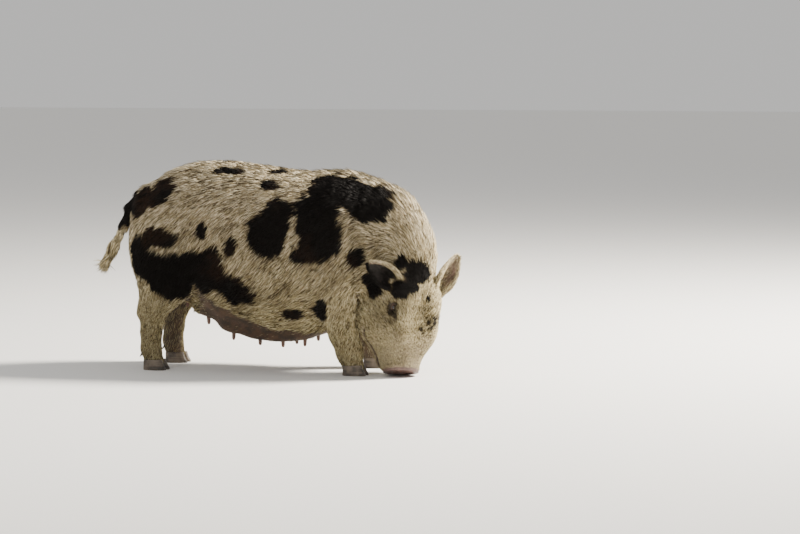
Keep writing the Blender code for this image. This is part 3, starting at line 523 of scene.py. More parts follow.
def keepLargest(points, quads):
    label = np.arange(len(points))
    while True:
        lowest = label[quads].min(axis=1)
        new = label.copy()
        for corner in range(4):
            np.minimum.at(new, quads[:, corner], lowest)
        new = new[new]
        if np.array_equal(new, label):
            break
        label = new
    names, sizes = np.unique(label, return_counts=True)
    kept = label == names[np.argmax(sizes)]
    index = np.cumsum(kept) - 1
    return points[kept], index[quads[kept[quads[:, 0]]]]


def outwardOf(p):
    step = skinForm["slopeStep"]
    slopes = [skinField(p + move) - skinField(p - move) for move in np.eye(3) * step]
    slope = np.stack(slopes, axis=1) / (2 * step)
    steep = np.linalg.norm(slope, axis=1)
    return slope / np.maximum(steep, 1e-6)[:, None], steep


skinPoints, skinQuads = keepLargest(*makeSkin())
skinOut, steep = outwardOf(skinPoints)
away = skinField(skinPoints) / np.maximum(steep, 0.5)
skinPoints = skinPoints - skinOut * away[:, None] * skinForm["draw"]
skinLocal = toHead(skinPoints)
print("skin has", len(skinQuads), "quads")

regions = {
    "names": ["torso", "neck", "head", "front", "hind", "tail", "earLeft", "earRight"],
    # how softly one region passes into the next
    "soft": 0.010,
    # the legs end where the body begins, and an ear's own skin stands clear of the poll
    "legs": {"front": (0.16, 0.26), "hind": (0.18, 0.30)}, "legAway": 0.03, "headAway": 0.006,
}


# What each place on the skin is: shares of the regions
def sharesAt(p, local):
    far = {name: earField(local, name) for name in ears["names"]}
    far.update(torso=torsoField(p), neck=bodyChain(p, "neck"), tail=bodyChain(p, "tail"),
               head=headField(p) + regions["headAway"])
    for name, heights in regions["legs"].items():
        far[name] = legField(p, name) + regions["legAway"] * smoothStep(*heights, p[:, 2])
    far = np.stack([far[name] for name in regions["names"]], axis=1)
    weight = np.exp(-(far - far.min(axis=1, keepdims=True)) / regions["soft"])
    return dict(zip(regions["names"], (weight / weight.sum(axis=1, keepdims=True)).T))


shares = sharesAt(skinPoints, skinLocal)
skinRegion = np.argmax(np.stack(list(shares.values()), axis=1), axis=1)


waves = {"count": 6, "spread": (0.7, 1.6), "most": 3.2}


def wave(p, size, seed):
    # a smooth wandering value from -1 to 1 that changes over about this size
    rng = np.random.default_rng(seed)
    total = np.zeros(len(p))
    for k in range(waves["count"]):
        way = unit(rng.normal(size=3)) * 2 * math.pi / (size * rng.uniform(*waves["spread"]))
        total = total + np.sin(p @ way + rng.uniform(0, 2 * math.pi))
    return total / waves["most"]


# Black markings: centre, radii, tilt in degrees about the sow's cross axis
markings = {
    "edge": 0.16,
    "body": [
        ((-0.253, -0.109, 0.447), (0.047, 0.060, 0.038), -25),
        ((-0.318, -0.078, 0.419), (0.042, 0.080, 0.038), 0),
        ((-0.342, -0.008, 0.412), (0.030, 0.034, 0.030), 0),
        ((-0.085, -0.079, 0.500), (0.041, 0.026, 0.017), 4),
        ((0.038, -0.052, 0.495), (0.023, 0.026, 0.012), 0),
        ((0.032, -0.117, 0.465), (0.024, 0.026, 0.012), 8),
        ((0.048, -0.178, 0.364), (0.049, 0.060, 0.079), 24),
        ((0.173, -0.180, 0.362), (0.056, 0.070, 0.096), 8),
        ((0.134, -0.186, 0.297), (0.027, 0.040, 0.024), 0),
        ((0.168, -0.140, 0.425), (0.052, 0.090, 0.050), 0),
        ((0.205, -0.108, 0.466), (0.078, 0.074, 0.050), 6),
        ((0.290, -0.115, 0.432), (0.068, 0.066, 0.055), 20),
        ((0.270, -0.157, 0.296), (0.023, 0.030, 0.027), 0),
        ((-0.212, -0.180, 0.245), (0.070, 0.070, 0.074), 0),
        ((-0.244, -0.173, 0.335), (0.064, 0.040, 0.024), 6),
        ((-0.282, -0.140, 0.282), (0.050, 0.060, 0.056), 0),
        ((-0.158, -0.159, 0.271), (0.030, 0.040, 0.034), 0),
        ((-0.129, -0.161, 0.352), (0.015, 0.026, 0.025), 10),
        ((-0.045, -0.187, 0.316), (0.014, 0.030, 0.029), 5),
        ((-0.108, -0.165, 0.252), (0.045, 0.050, 0.050), 0),
        ((-0.044, -0.178, 0.212), (0.062, 0.054, 0.036), 25),
        ((0.099, -0.149, 0.152), (0.027, 0.034, 0.013), 0),
        ((0.175, -0.140, 0.164), (0.023, 0.040, 0.036), 18),
        ((0.302, -0.134, 0.226), (0.026, 0.040, 0.036), 0),
        ((0.190, 0.110, 0.440), (0.080, 0.080, 0.060), 12),
        ((0.150, 0.175, 0.365), (0.052, 0.060, 0.062), -16),
        ((0.190, 0.175, 0.300), (0.028, 0.050, 0.036), 20),
        ((-0.060, 0.160, 0.405), (0.082, 0.060, 0.044), 14),
        ((-0.095, 0.180, 0.350), (0.040, 0.050, 0.050), -24),
        ((0.030, 0.180, 0.300), (0.020, 0.050, 0.034), 18),
        ((-0.262, 0.125, 0.405), (0.050, 0.070, 0.044), -20),
        ((-0.215, 0.165, 0.300), (0.066, 0.060, 0.052), 14),
        ((-0.243, 0.165, 0.240), (0.045, 0.055, 0.046), 0),
        ((0.030, 0.175, 0.215), (0.062, 0.045, 0.024), -12),
        ((-0.085, 0.170, 0.225), (0.030, 0.045, 0.026), 30),
        ((0.300, 0.095, 0.345), (0.034, 0.055, 0.052), -20),
    ],
    # in the head's own frame
    "head": [
        ((0.047, -0.014, 0.085), (0.033, 0.041, 0.036), 0),
        ((0.070, -0.040, 0.080), (0.031, 0.034, 0.032), 0),
        ((0.090, -0.064, 0.073), (0.025, 0.028, 0.028), 0),
        ((0.028, -0.066, 0.074), (0.020, 0.018, 0.020), 0),
        ((0.084, -0.101, 0.019), (0.032, 0.032, 0.024), 0),
        ((0.106, 0.020, 0.082), (0.007, 0.007, 0.012), 0),
        ((0.088, 0.090, 0.016), (0.019, 0.030, 0.026), 24),
        ((0.068, 0.084, 0.038), (0.013, 0.022, 0.015), 0),
        ((0.108, 0.094, 0.000), (0.014, 0.024, 0.010), 0),
        ((0.184, 0.090, -0.006), (0.024, 0.024, 0.017), -20),
        ((0.160, 0.092, 0.006), (0.010, 0.020, 0.009), 0),
    ],
    # dark hair, not all black, round the eyes
    "eyes": [((0.144, -0.073, 0.052), (0.034, 0.022, 0.019), 0),
             ((0.144, 0.073, 0.052), (0.034, 0.022, 0.019), 0)],
    # cream streaks inside the black of the ham
    "streaks": [((-0.190, -0.165, 0.304), (0.036, 0.060, 0.008), -8),
                ((-0.235, -0.165, 0.306), (0.030, 0.060, 0.005), 6)],
    "mottle": [((0.160, 0.046, 0.070), (0.026, 0.026, 0.026), 0),
               ((0.181, 0.016, 0.061), (0.012, 0.014, 0.016), 0)],
    # how far the edges wander: amount, size, seed
    "wander": [(0.19, 0.065, 11), (0.10, 0.022, 12), (0.05, 0.009, 15)],
    "streakEdge": (1.3, 0.7), "eyeEdge": (1.40, 0.45), "eyeWander": 1.5, "eyeDark": 0.58,
    "mottleEdge": (1.4, 0.7), "mottleWander": (1.3, 0.008, 13), "mottleDark": 0.62,
    # her right ear is black but for its upper rim, the left one is dark inside; the tail is black above
    "earRim": (0.008, 0.003), "earInside": (0.004, 0.012), "earDark": 0.42, "earEdge": (0.2, 0.7),
    "tail": (0.330, 0.368), "tailWander": (0.012, 0.02, 14),
}


def nearPatch(p, patches):
    best = np.full(len(p), 9.0)
    for centre, radii, tilt in patches:
        turn = np.array(Matrix.Rotation(math.radians(tilt), 3, "Y"))
        offset = (p - np.array(centre)) @ turn
        best = np.minimum(best, np.linalg.norm(offset / np.array(radii), axis=1))
    return best


def blackAt(p, local, share):
    wander = sum(amount * wave(p, size, seed) for amount, size, seed in markings["wander"])
    edge = markings["edge"]
    onHead = share["head"] + share["earLeft"] + share["earRight"]
    black = smoothStep(1 + edge, 1 - edge, nearPatch(p, markings["body"]) + wander)
    streak = smoothStep(*markings["streakEdge"], nearPatch(p, markings["streaks"]) + wander)
    black = black * (1 - onHead) * (1 - streak)
    face = smoothStep(1 + edge, 1 - edge, nearPatch(local, markings["head"]) + wander)
    amount, size, seed = markings["mottleWander"]
    broken = amount * wave(p, size, seed) ** 2
    mottle = smoothStep(*markings["mottleEdge"], nearPatch(local, markings["mottle"]) + broken)
    aroundEyes = nearPatch(local, markings["eyes"]) + markings["eyeWander"] * wander
    aroundEyes = smoothStep(*markings["eyeEdge"], aroundEyes)
    face = np.max([face, markings["eyeDark"] * aroundEyes, markings["mottleDark"] * mottle], axis=0)
    black = np.maximum(black, face * np.clip(onHead + share["neck"], 0, 1))
    for name in ears["names"]:
        sheet = earSheet(local, name)
        if name == "earRight":
            dark = 1 - smoothStep(*markings["earRim"], sheet["inside"]) * (sheet["across"] > 0)
        else:
            dark = markings["earDark"] * smoothStep(*markings["earInside"], sheet["inside"])
        dark = dark * smoothStep(*markings["earEdge"], share[name])
        black = np.maximum(black * (1 - share[name]), dark)
    amount, size, seed = markings["tailWander"]
    tail = smoothStep(*markings["tail"], p[:, 2] + amount * wave(p, size, seed))
    return np.maximum(black, share["tail"] * tail)


# Bare skin: the belly below a line along the flank, the snout's disc, the lips, the rims of the eyes
# and the insides of the ears
bare = {
    "lineX": (-0.300, -0.200, -0.160, -0.135, -0.110, -0.083, -0.027, 0.028, 0.088, 0.186, 0.230),
    "lineZ": (0.270, 0.285, 0.240, 0.222, 0.204, 0.178, 0.146, 0.122, 0.108, 0.112, 0.090),
    "edge": 0.007, "wander": (0.004, 0.05, 41),
    # the belly ends before the flanks, and between the hind legs only what faces in or down is bare
    "sides": (0.19, 0.15), "behind": (-0.125, -0.160), "innerSide": 0.12, "legSide": 0.095, "legs": 0.75,
    "facesIn": (0.1, 0.4), "facesDown": (-0.15, -0.5), "facesBack": (-0.6, -0.3), "facesEar": (0.1, 0.5),
    "disc": (0.2725, 0.2775), "eye": (0.0160, 0.0130), "lidDark": (0.0200, 0.0125),
    "lips": (0.0082, 0.00369),
    "cup": (0.002, 0.006), "inCup": 0.72,
    # short flat hair on the legs and the lower face, where the skin itself carries the coat's colour
    "shortLegs": (0.24, 0.17), "shortFace": (0.10, 0.18),
}


def bellyBare(p, share, out):
    amount, size, seed = bare["wander"]
    line = np.interp(p[:, 0], bare["lineX"], bare["lineZ"]) + amount * wave(p, size, seed)
    belly = smoothStep(line + bare["edge"], line - bare["edge"], p[:, 2])
    belly = belly * smoothStep(*bare["sides"], np.abs(p[:, 1]))
    inner = smoothStep(*bare["facesIn"], -out[:, 1] * np.sign(p[:, 1]))
    under = smoothStep(*bare["facesDown"], out[:, 2]) * smoothStep(*bare["facesBack"], out[:, 0])
    behind = smoothStep(*bare["behind"], p[:, 0])
    hidden = np.maximum(under, inner) * (np.abs(p[:, 1]) < bare["innerSide"])
    leg = bare["legs"] * (share["hind"] + share["front"]) * (np.abs(p[:, 1]) < bare["legSide"])
    return belly * (1 - behind + behind * hidden) * (share["torso"] + leg)


def eyeDistance(local):
    far = [np.linalg.norm(local - onSide(eye["place"], mirror), axis=1) for mirror in (-1, 1)]
    return np.min(far, axis=0)


def cupBare(local, share, out):
    cup = np.zeros(len(local))
    for name in ears["names"]:
        sheet = earSheet(local, name)
        facing = smoothStep(*bare["facesEar"], out @ (headTurn @ sheet["opening"]))
        cup = np.maximum(cup, share[name] * facing * smoothStep(*bare["cup"], sheet["inside"]))
    return cup


# How near a place is to the line of the mouth
def lipsAt(local, share, out):
    start, end = snout["mouth"][0][0], snout["mouth"][-1][0]
    past = local[:, 0] - np.clip(local[:, 0], start, end)
    steep = np.sqrt(np.clip(1 - (out @ headTurn[:, 2]) ** 2, 0.02, 1))
    far = np.hypot((local[:, 2] - mouthHeight(local)) / steep, past)
    return share["head"] * smoothStep(*bare["lips"], far)


skinBlack = blackAt(skinPoints, skinLocal, shares)
skinLips = lipsAt(skinLocal, shares, skinOut)
skinDisc = smoothStep(*bare["disc"], skinLocal[:, 0]) * (shares["head"] > 0.5)
skinCup = cupBare(skinLocal, shares, skinOut)
skinBare = np.max([bellyBare(skinPoints, shares, skinOut), skinDisc, skinLips, bare["inCup"] * skinCup,
                   smoothStep(*bare["eye"], eyeDistance(skinLocal))], axis=0)

onLegs = (shares["front"] + shares["hind"]) * smoothStep(*bare["shortLegs"], skinPoints[:, 2])
onFace = shares["head"] * smoothStep(*bare["shortFace"], skinLocal[:, 0])
skinShort = np.clip(onLegs + onFace, 0, 1) * (1 - skinBare)

# The lie of the coat, and the length and width of its tufts
coat = {
    "length": {"torso": 0.028, "neck": 0.028, "head": 0.0125, "front": 0.0145, "hind": 0.0145,
               "tail": 0.018, "earLeft": 0.011, "earRight": 0.011},
    "width": {"torso": 0.00112, "neck": 0.00112, "head": 0.00078, "front": 0.00092, "hind": 0.00092,
              "tail": 0.0016, "earLeft": 0.0008, "earRight": 0.0008},
    # ways in which it lies on legs and tail; on the body it lies back, and down by these shares:
    # always, on the flanks, on the neck's flanks, and up the front of the crest
    "ways": {"front": (-0.35, 0.0, -1.0), "hind": (-0.30, 0.0, -1.0), "tail": (-0.48, 0.0, -0.88)},
    "down": 0.12, "flankDown": 1.15, "neckDown": 0.9, "crestUp": 1.3,
    # on the face it lies back, outwards and down, and round the eyes away from them
    "faceOut": 0.45, "faceDown": 0.35, "eyeReach": 0.03, "eyeAway": 0.9,
    # amount, size and first seed of the swirls
    "swirl": 0.17, "swirls": ((0.030, 21), (0.013, 24)),
    # the crest runs over the poll and the withers to the back
    "crest": 0.050, "crestX": (0.25, 0.34, 0.44), "crestY": (0.0, -0.012, -0.045), "crestLift": 0.17,
    # how much longer and wider the tufts are in each place, and between what values it begins
    "changes": {"snout": (-0.60, -0.25), "cheek": (0.55, 0.15), "top": (0.15, 0.0), "thigh": (0.6, 0.0),
                "shank": (-0.25, 0.0), "crest": (0.30, 0.0)},
    "snoutFrom": (0.12, 0.25), "cheekBelow": (0.02, -0.05), "cheekFrom": (0.22, 0.14),
    "topFaces": (0.45, 0.95), "thighFrom": (0.17, 0.26), "shankBelow": (0.15, 0.04),
    "tassel": 0.042, "tasselBelow": (0.350, 0.285), "pastEndBelow": (0.34, 0.30),
    "headLift": 0.06, "earLift": 0.10, "tasselLift": -0.02,
    "longWander": (0.15, 0.04, 31), "liftWander": (0.05, 0.02, 32),
    # the tips stay clear of the ground
    "clear": 0.002, "shortest": 0.003, "steepest": 0.75,
    # bare skin has a few short thin hairs
    "bareShorter": 0.65, "bareThinner": 0.55, "bareFewer": 0.97,
    # each tuft is pitched by how far the skin falls away or rises under its tip
    "tipAt": 0.8, "follows": 0.85, "mostFall": -0.25, "mostRise": 0.55,
    # a tuft shows most half way along, so it takes its colour from the marking there
    "colourAt": 0.55,
}


def crestAt(p, share, out):
    middle = np.interp(p[:, 0], coat["crestX"], coat["crestY"])
    ridge = np.exp(-((p[:, 1] - middle) / coat["crest"]) ** 2)
    ridge = ridge * smoothStep(-0.1, 0.4, out[:, 2] + out[:, 0])
    ridge = ridge * (0.45 + 0.55 * smoothStep(0.0, 0.2, p[:, 0]))
    return ridge * (share["torso"] + share["neck"] + share["head"])


def lieAt(p, local, share, out):
    side = 1 - np.abs(out[:, 2])
    down = (coat["down"] + coat["flankDown"] * side) * (0.5 + 0.5 * smoothStep(0.16, 0.30, p[:, 2]))
    rise = smoothStep(0.15, 0.65, out[:, 0])
    back, none = -np.ones(len(p)), np.zeros(len(p))
    lie = {name: np.tile(way, (len(p), 1)) for name, way in coat["ways"].items()}
    lie["torso"] = np.stack([back, none, -down], axis=1)
    onNeck = coat["crestUp"] * rise - coat["neckDown"] * side * (1 - rise)
    lie["neck"] = np.stack([back, none, onNeck], axis=1)
    outward = np.sign(local[:, 1]) * smoothStep(0, 0.03, np.abs(local[:, 1]))
    onFace = np.stack([back, coat["faceOut"] * outward, -coat["faceDown"] * np.abs(outward)], axis=1)
    for mirror in (-1, 1):
        q = local - onSide(eye["place"], mirror)
        far = np.linalg.norm(q, axis=1, keepdims=True)
        near = np.exp(-((far / coat["eyeReach"]) ** 2))
        onFace = onFace + near * coat["eyeAway"] * q / np.maximum(far, 1e-4)
    lie["head"] = onFace @ headTurn.T
    for name in ears["names"]:
        lie[name] = np.tile(headTurn @ unit(np.array(ears[name][1])), (len(p), 1))
    total = sum(lie[name] * share[name][:, None] for name in regions["names"])
    for size, first in coat["swirls"]:
        total = total + coat["swirl"] * np.stack([wave(p, size, first + k) for k in range(3)], axis=1)
    total = total - out * np.sum(total * out, axis=1, keepdims=True)
    return total / np.maximum(np.linalg.norm(total, axis=1, keepdims=True), 1e-6)


def lengthAt(p, local, share, out):
    long = sum(coat["length"][name] * share[name] for name in share)
    wide = sum(coat["width"][name] * share[name] for name in share)
    onHead, leg = share["head"], share["front"] + share["hind"]
    cheek = smoothStep(*coat["cheekBelow"], local[:, 2]) * smoothStep(*coat["cheekFrom"], local[:, 0])
    places = {
        "snout": smoothStep(*coat["snoutFrom"], local[:, 0]) * onHead,
        "cheek": cheek * onHead,
        "top": smoothStep(*coat["topFaces"], out[:, 2]) * (share["torso"] + share["neck"]),
        "thigh": leg * smoothStep(*coat["thighFrom"], p[:, 2]),
        "shank": leg * smoothStep(*coat["shankBelow"], p[:, 2]),
        "crest": crestAt(p, share, out),
    }
    for name, place in places.items():
        longer, wider = coat["changes"][name]
        long = long * (1 + longer * place)
        wide = wide * (1 + wider * place)
    tassel = share["tail"] * smoothStep(*coat["tasselBelow"], p[:, 2])
    amount, size, seed = coat["longWander"]
    long = (long * (1 - tassel) + coat["tassel"] * tassel) * (1 + amount * wave(p, size, seed))
    lift = coat["crestLift"] * places["crest"] + coat["headLift"] * onHead + coat["tasselLift"] * tassel
    amount, size, seed = coat["liftWander"]
    lift = lift + amount * wave(p, size, seed) + coat["earLift"] * (share["earLeft"] + share["earRight"])
    long = np.minimum(long, np.maximum(coat["steepest"] * (p[:, 2] - coat["clear"]), coat["shortest"]))
    long = long * (1 - coat["bareShorter"] * skinBare * (share["torso"] > 0.3))
    return long, wide * (1 - coat["bareThinner"] * skinBare), lift


skinLie = lieAt(skinPoints, skinLocal, shares, skinOut)
skinLong, skinWide, skinLift = lengthAt(skinPoints, skinLocal, shares, skinOut)
reach = skinLong * coat["tipAt"]
rise = np.clip(skinField(skinPoints + skinLie * reach[:, None]) / reach, coat["mostFall"], coat["mostRise"])
skinLift = skinLift - coat["follows"] * rise * (1 - shares["tail"])
# the tassel's hair runs on past the end of the tail
tailWay = np.array(body["tail"][-1][0]) - np.array(body["tail"][-3][0])
pastEnd = np.arcsin(np.clip(skinOut @ unit(tailWay), -0.12, 0.98))
skinLift = skinLift + pastEnd * shares["tail"] * smoothStep(*coat["pastEndBelow"], skinPoints[:, 2])
tipPoints = skinPoints + skinLie * skinLong[:, None] * coat["colourAt"]
coatBlack = blackAt(tipPoints, toHead(tipPoints), shares)
skinKeep = (1 - coat["bareFewer"] * skinBare) * (skinPoints[:, 2] > legs["sole"]) * (skinDisc <= 0.3)
print("markings, bare skin and lie of the coat worked out")


# A socket in a node tree, which sums can be written on
class Value:
    def __init__(self, nodes, socket):
        self.nodes = nodes
        self.socket = socket

    def work(self, operation, *values):
        return self.nodes.add("ShaderNodeMath", {"operation": operation}, dict(enumerate(values)))

    def __add__(self, other):
        return self.work("ADD", self, other)

    __radd__ = __add__

    def __sub__(self, other):
        return self.work("SUBTRACT", self, other)

    def __rsub__(self, other):
        return self.work("SUBTRACT", other, self)

    def __mul__(self, other):
        return self.work("MULTIPLY", self, other)

    def between(self, low, high):
        settings = {"interpolation_type": "SMOOTHSTEP"}
        sockets = {"Value": self, "From Min": low, "From Max": high}
        return self.nodes.add("ShaderNodeMapRange", settings, sockets)


class Nodes:
    def node(self, kind, settings=None, sockets=None):
        node = self.tree.nodes.new(kind)
        for name, value in (settings or {}).items():
            setattr(node, name, value)
        for name, value in (sockets or {}).items():
            self.put(node.inputs[name], value)
        return node

    def add(self, kind, settings=None, sockets=None, out=0):
        return Value(self, self.node(kind, settings, sockets).outputs[out])

    def put(self, socket, value):
        if isinstance(value, Value):
            self.tree.links.new(value.socket, socket)
        else:
            isColour = socket.type == "RGBA" and len(value) == 3
            socket.default_value = (*value, 1) if isColour else value

    def vector(self, operation, a, b=None, out=0):
        sockets = {0: a} if b is None else {0: a, ("Scale" if operation == "SCALE" else 1): b}
        return self.add("ShaderNodeVectorMath", {"operation": operation}, sockets, out)


class Paint(Nodes):
    def __init__(self, name):
        self.material = bpy.data.materials.new(name)
        self.material.use_nodes = True
        self.tree = self.material.node_tree
        self.shader = self.tree.nodes["Principled BSDF"]

    # names as the shader writes them, but in one word: baseColor is its "Base Color"
    def set(self, **values):
        for name, value in values.items():
            label = "".join(" " + c if c.isupper() else c for c in name).strip().title()
            self.put(self.shader.inputs[label], value)

    def attribute(self, name, out="Fac"):
        return self.add("ShaderNodeAttribute", {"attribute_name": name}, None, out)

    def place(self):
        return self.add("ShaderNodeTexCoord", None, None, "Object")

    def noise(self, where, scale, detail=3, rough=0.55):
        sockets = {"Vector": where, "Scale": scale, "Detail": detail, "Roughness": rough}
        return self.add("ShaderNodeTexNoise", None, sockets)

    def mix(self, share, a, b):
        return self.add("ShaderNodeMix", {"data_type": "RGBA"}, {0: share, 6: a, 7: b}, 2)

    def ramp(self, share, stops):
        node = self.node("ShaderNodeValToRGB", None, {0: share})
        while len(node.color_ramp.elements) < len(stops):
            node.color_ramp.elements.new(0.5)
        for stop, (place, colour) in zip(node.color_ramp.elements, stops):
            stop.position, stop.color = place, (*colour, 1)
        return Value(self, node.outputs[0])

    def part(self, vector, axis):
        return self.add("ShaderNodeSeparateXYZ", None, {0: vector}, axis)

    def bump(self, height, distance, strength):
        sockets = {"Height": height, "Distance": distance, "Strength": strength}
        return self.add("ShaderNodeBump", None, sockets)


skinFinish = {
    # the skin under the cream coat is dark partly in its own colour and partly as painted shade between the
    # bristles
    "underCream": (0.105, 0.078, 0.054), "underPale": (0.180, 0.132, 0.096),
    "underBlack": (0.010, 0.008, 0.007), "freckle": (0.07, 0.048, 0.034),
    "shortDark": (0.145, 0.110, 0.070), "shortPale": (0.340, 0.275, 0.180),
    "cup": (0.190, 0.110, 0.082), "cupDark": (0.070, 0.042, 0.033),
    "bare": (0.085, 0.046, 0.024), "bareDark": (0.034, 0.020, 0.012), "bareBlack": (0.022, 0.016, 0.013),
    "disc": (0.085, 0.052, 0.044), "discPale": (0.185, 0.110, 0.092),
    "lid": (0.048, 0.031, 0.023), "lips": (0.040, 0.024, 0.019),
    "cloudScale": 38, "fineScale": 260, "creaseScale": 330, "radius": (0.004, 0.0015, 0.001),
}


def skinMaterial():
    paint, look = Paint("skin"), skinFinish
    at = paint.place()
    black = paint.attribute("black")
    disc = paint.attribute("disc")
    cloudy = paint.noise(at, look["cloudScale"], 4)
    fine = paint.noise(at, look["fineScale"], 4)
    creased = paint.add("ShaderNodeTexVoronoi", {"feature": "DISTANCE_TO_EDGE"},
                        {"Vector": at, "Scale": look["creaseScale"]})
    # painted shade: the skin under the cream coat is darkened to stand for the shade between the bristles
    cream = paint.mix(cloudy.between(0.35, 0.65), look["underCream"], look["underPale"])
    cream = paint.mix(fine.between(0.45, 0.7) * 0.5, cream, look["freckle"])
    flat = paint.mix(fine.between(0.38, 0.62), look["shortDark"], look["shortPale"])
    cream = paint.mix(paint.attribute("short"), cream, flat)
    base = paint.mix(black, cream, look["underBlack"])
    belly = paint.mix(cloudy.between(0.3, 0.7), look["bareDark"], look["bare"])
    belly = paint.mix(black * 0.8, belly, look["bareBlack"])
    inside = paint.mix(cloudy.between(0.35, 0.6), look["cupDark"], look["cup"])
    inside = paint.mix(black.between(0.75, 0.95), inside, look["bareBlack"])
    nose = paint.mix(fine.between(0.35, 0.65), look["disc"], look["discPale"])
    # each layer lies over the ones before it
    layers = [(paint.attribute("bare"), belly), (paint.attribute("cup"), inside), (disc, nose),
              (paint.attribute("lid"), look["lid"]), (paint.attribute("lips") * 0.9, look["lips"])]
    for share, colour in layers:
        base = paint.mix(share, base, colour)
    height = creased.between(0.0, 0.12) * 0.6 + fine * 0.8
    paint.set(baseColor=base, roughness=0.62 - disc * 0.26 + fine * 0.1,
              normal=paint.bump(height, 0.0006, 0.7), subsurfaceWeight=0.06, subsurfaceRadius=look["radius"])
    return paint.material


coatFinish = {
    "dark": (0.072, 0.053, 0.031), "cream": (0.485, 0.415, 0.262), "pale": (0.900, 0.835, 0.650),
    # painted light: the hair is tinted darker and yellower low on the body as painted shade with a
    # yellow-green bounce, and lighter and peach along the back as a painted highlight
    "paintedShadeLow": (0.80, 0.755, 0.60), "back": (1.0, 0.95, 0.90), "paintedShadeHeights": (0.06, 0.44),
    # the tail's tassel is washed out by the light
    "tassel": (1.30, 1.25, 1.12), "tasselFrom": (-0.385, -0.425),
    "black": (0.0065, 0.0050, 0.0042), "brown": (0.040, 0.020, 0.011),
    "cloudScale": 20, "patchScale": 7, "roughness": 0.62, "shine": 0.16,
}


def coatMaterial():
    paint, look = Paint("coat"), coatFinish
    black = paint.attribute("black")
    shade = paint.attribute("shade")
    root = paint.attribute("root", "Vector")
    cloudy = paint.noise(root, look["cloudScale"])
    patchy = paint.noise(root, look["patchScale"], 2)
    tone = shade * 0.75 + cloudy * 0.5 - 0.12
    cream = paint.ramp(tone, [(0.20, look["dark"]), (0.50, look["cream"]), (0.86, look["pale"])])
    # painted shade low on the body passes by height into a painted highlight along the back, and the tassel
    # gets a painted highlight
    paintedLightTint = paint.mix(paint.part(root, 2).between(*look["paintedShadeHeights"]), look["paintedShadeLow"], look["back"])
    paintedLightTint = paint.mix(paint.part(root, 0).between(*look["tasselFrom"]), paintedLightTint, look["tassel"])
    # the roots lie in each other's shade
    tip = paint.attribute("tip").between(-0.25, 0.75) * 0.75 + 0.25
    cream = paint.vector("SCALE", paint.vector("MULTIPLY", cream, paintedLightTint), tip)
    dark = paint.mix(patchy.between(0.52, 0.66) * shade * 0.8, look["black"], look["brown"])
    isBlack = ((black - 0.5) * 3.2 + (shade - 0.5) + 0.5).between(0.25, 0.75)
    paint.set(baseColor=paint.mix(isBlack, cream, dark), roughness=look["roughness"])
    paint.shader.inputs["Specular IOR Level"].default_value = look["shine"]
    return paint.material


eyeFinish = {
    "pupil": (0.003, 0.002, 0.002), "iris": (0.085, 0.036, 0.014), "rim": (0.020, 0.009, 0.005),
    "white": (0.30, 0.24, 0.20), "threadScale": 900,
    # angles from the middle of the gaze at which each ends, in radians
    "pupilEnd": (0.235, 0.262), "irisEnd": (0.50, 0.60), "rimEnd": (0.60, 0.72),
}


def eyeMaterial(name, centre, gaze):
    paint, look = Paint(name), eyeFinish
    offset = paint.vector("SUBTRACT", paint.place(), centre)
    facing = paint.vector("DOT_PRODUCT", paint.vector("NORMALIZE", offset), gaze, "Value")
    angle = facing.work("ARCCOSINE", facing)
    threads = paint.noise(offset, look["threadScale"])
    iris = paint.mix(threads, look["rim"], look["iris"])
    base = paint.mix((angle + threads * 0.02).between(*look["pupilEnd"]), look["pupil"], iris)
    base = paint.mix(angle.between(*look["irisEnd"]), base, look["rim"])
    base = paint.mix(angle.between(*look["rimEnd"]), base, look["white"])
    paint.set(baseColor=base, roughness=0.25, coatWeight=1.0, coatRoughness=0.03)
    return paint.material


hornFinish = {
    "dark": (0.040, 0.032, 0.026), "pale": (0.145, 0.112, 0.082), "ring": (0.21, 0.17, 0.125),
    "ringScale": 60, "stretch": (0.35, 0.35, 7.0), "blotchScale": 45,
}


def hornMaterial():
    paint, look = Paint("horn"), hornFinish
    at = paint.place()
    flat = paint.add("ShaderNodeMapping", None, {"Vector": at, "Scale": look["stretch"]})
    rings = paint.noise(flat, look["ringScale"])
    blotch = paint.noise(at, look["blotchScale"])
    base = paint.mix(blotch.between(0.35, 0.65), look["dark"], look["pale"])
    base = paint.mix(rings.between(0.45, 0.7) * 0.6, base, look["ring"])
    paint.set(baseColor=base, roughness=0.42 + rings * 0.2, normal=paint.bump(rings, 0.0012, 0.6))
    return paint.material


# two colours in clouds over fine creases; the size and the detail of the clouds, and their range
bareFinish = {
    "lids": {"dark": (0.030, 0.019, 0.014), "pale": (0.105, 0.066, 0.046), "scale": 120,
             "range": (0.35, 0.65)},
    "teats": {"dark": (0.10, 0.052, 0.038), "pale": (0.21, 0.11, 0.075), "scale": 90,
              "range": (0.3, 0.7)},
    "lashes": {"dark": (0.010, 0.008, 0.006), "pale": (0.060, 0.045, 0.030), "scale": 300},
}


def bareMaterial(name):
    paint, look = Paint(name), bareFinish[name]
    at = paint.place()
    cloudy = paint.noise(at, look["scale"], 2 if name == "lashes" else 3)
    share = cloudy.between(*look["range"]) if "range" in look else cloudy
    paint.set(baseColor=paint.mix(share, look["dark"], look["pale"]), roughness=0.5)
    if name == "teats":
        paint.set(roughness=0.55, normal=paint.bump(cloudy, 0.0008, 0.6))
    if name == "lids":
        fine = paint.noise(at, 900, 3)
        paint.set(roughness=0.46 + fine * 0.2, normal=paint.bump(fine, 0.0004, 0.7))
    return paint.material


materials = {"skin": skinMaterial(), "coat": coatMaterial(), "horn": hornMaterial()}


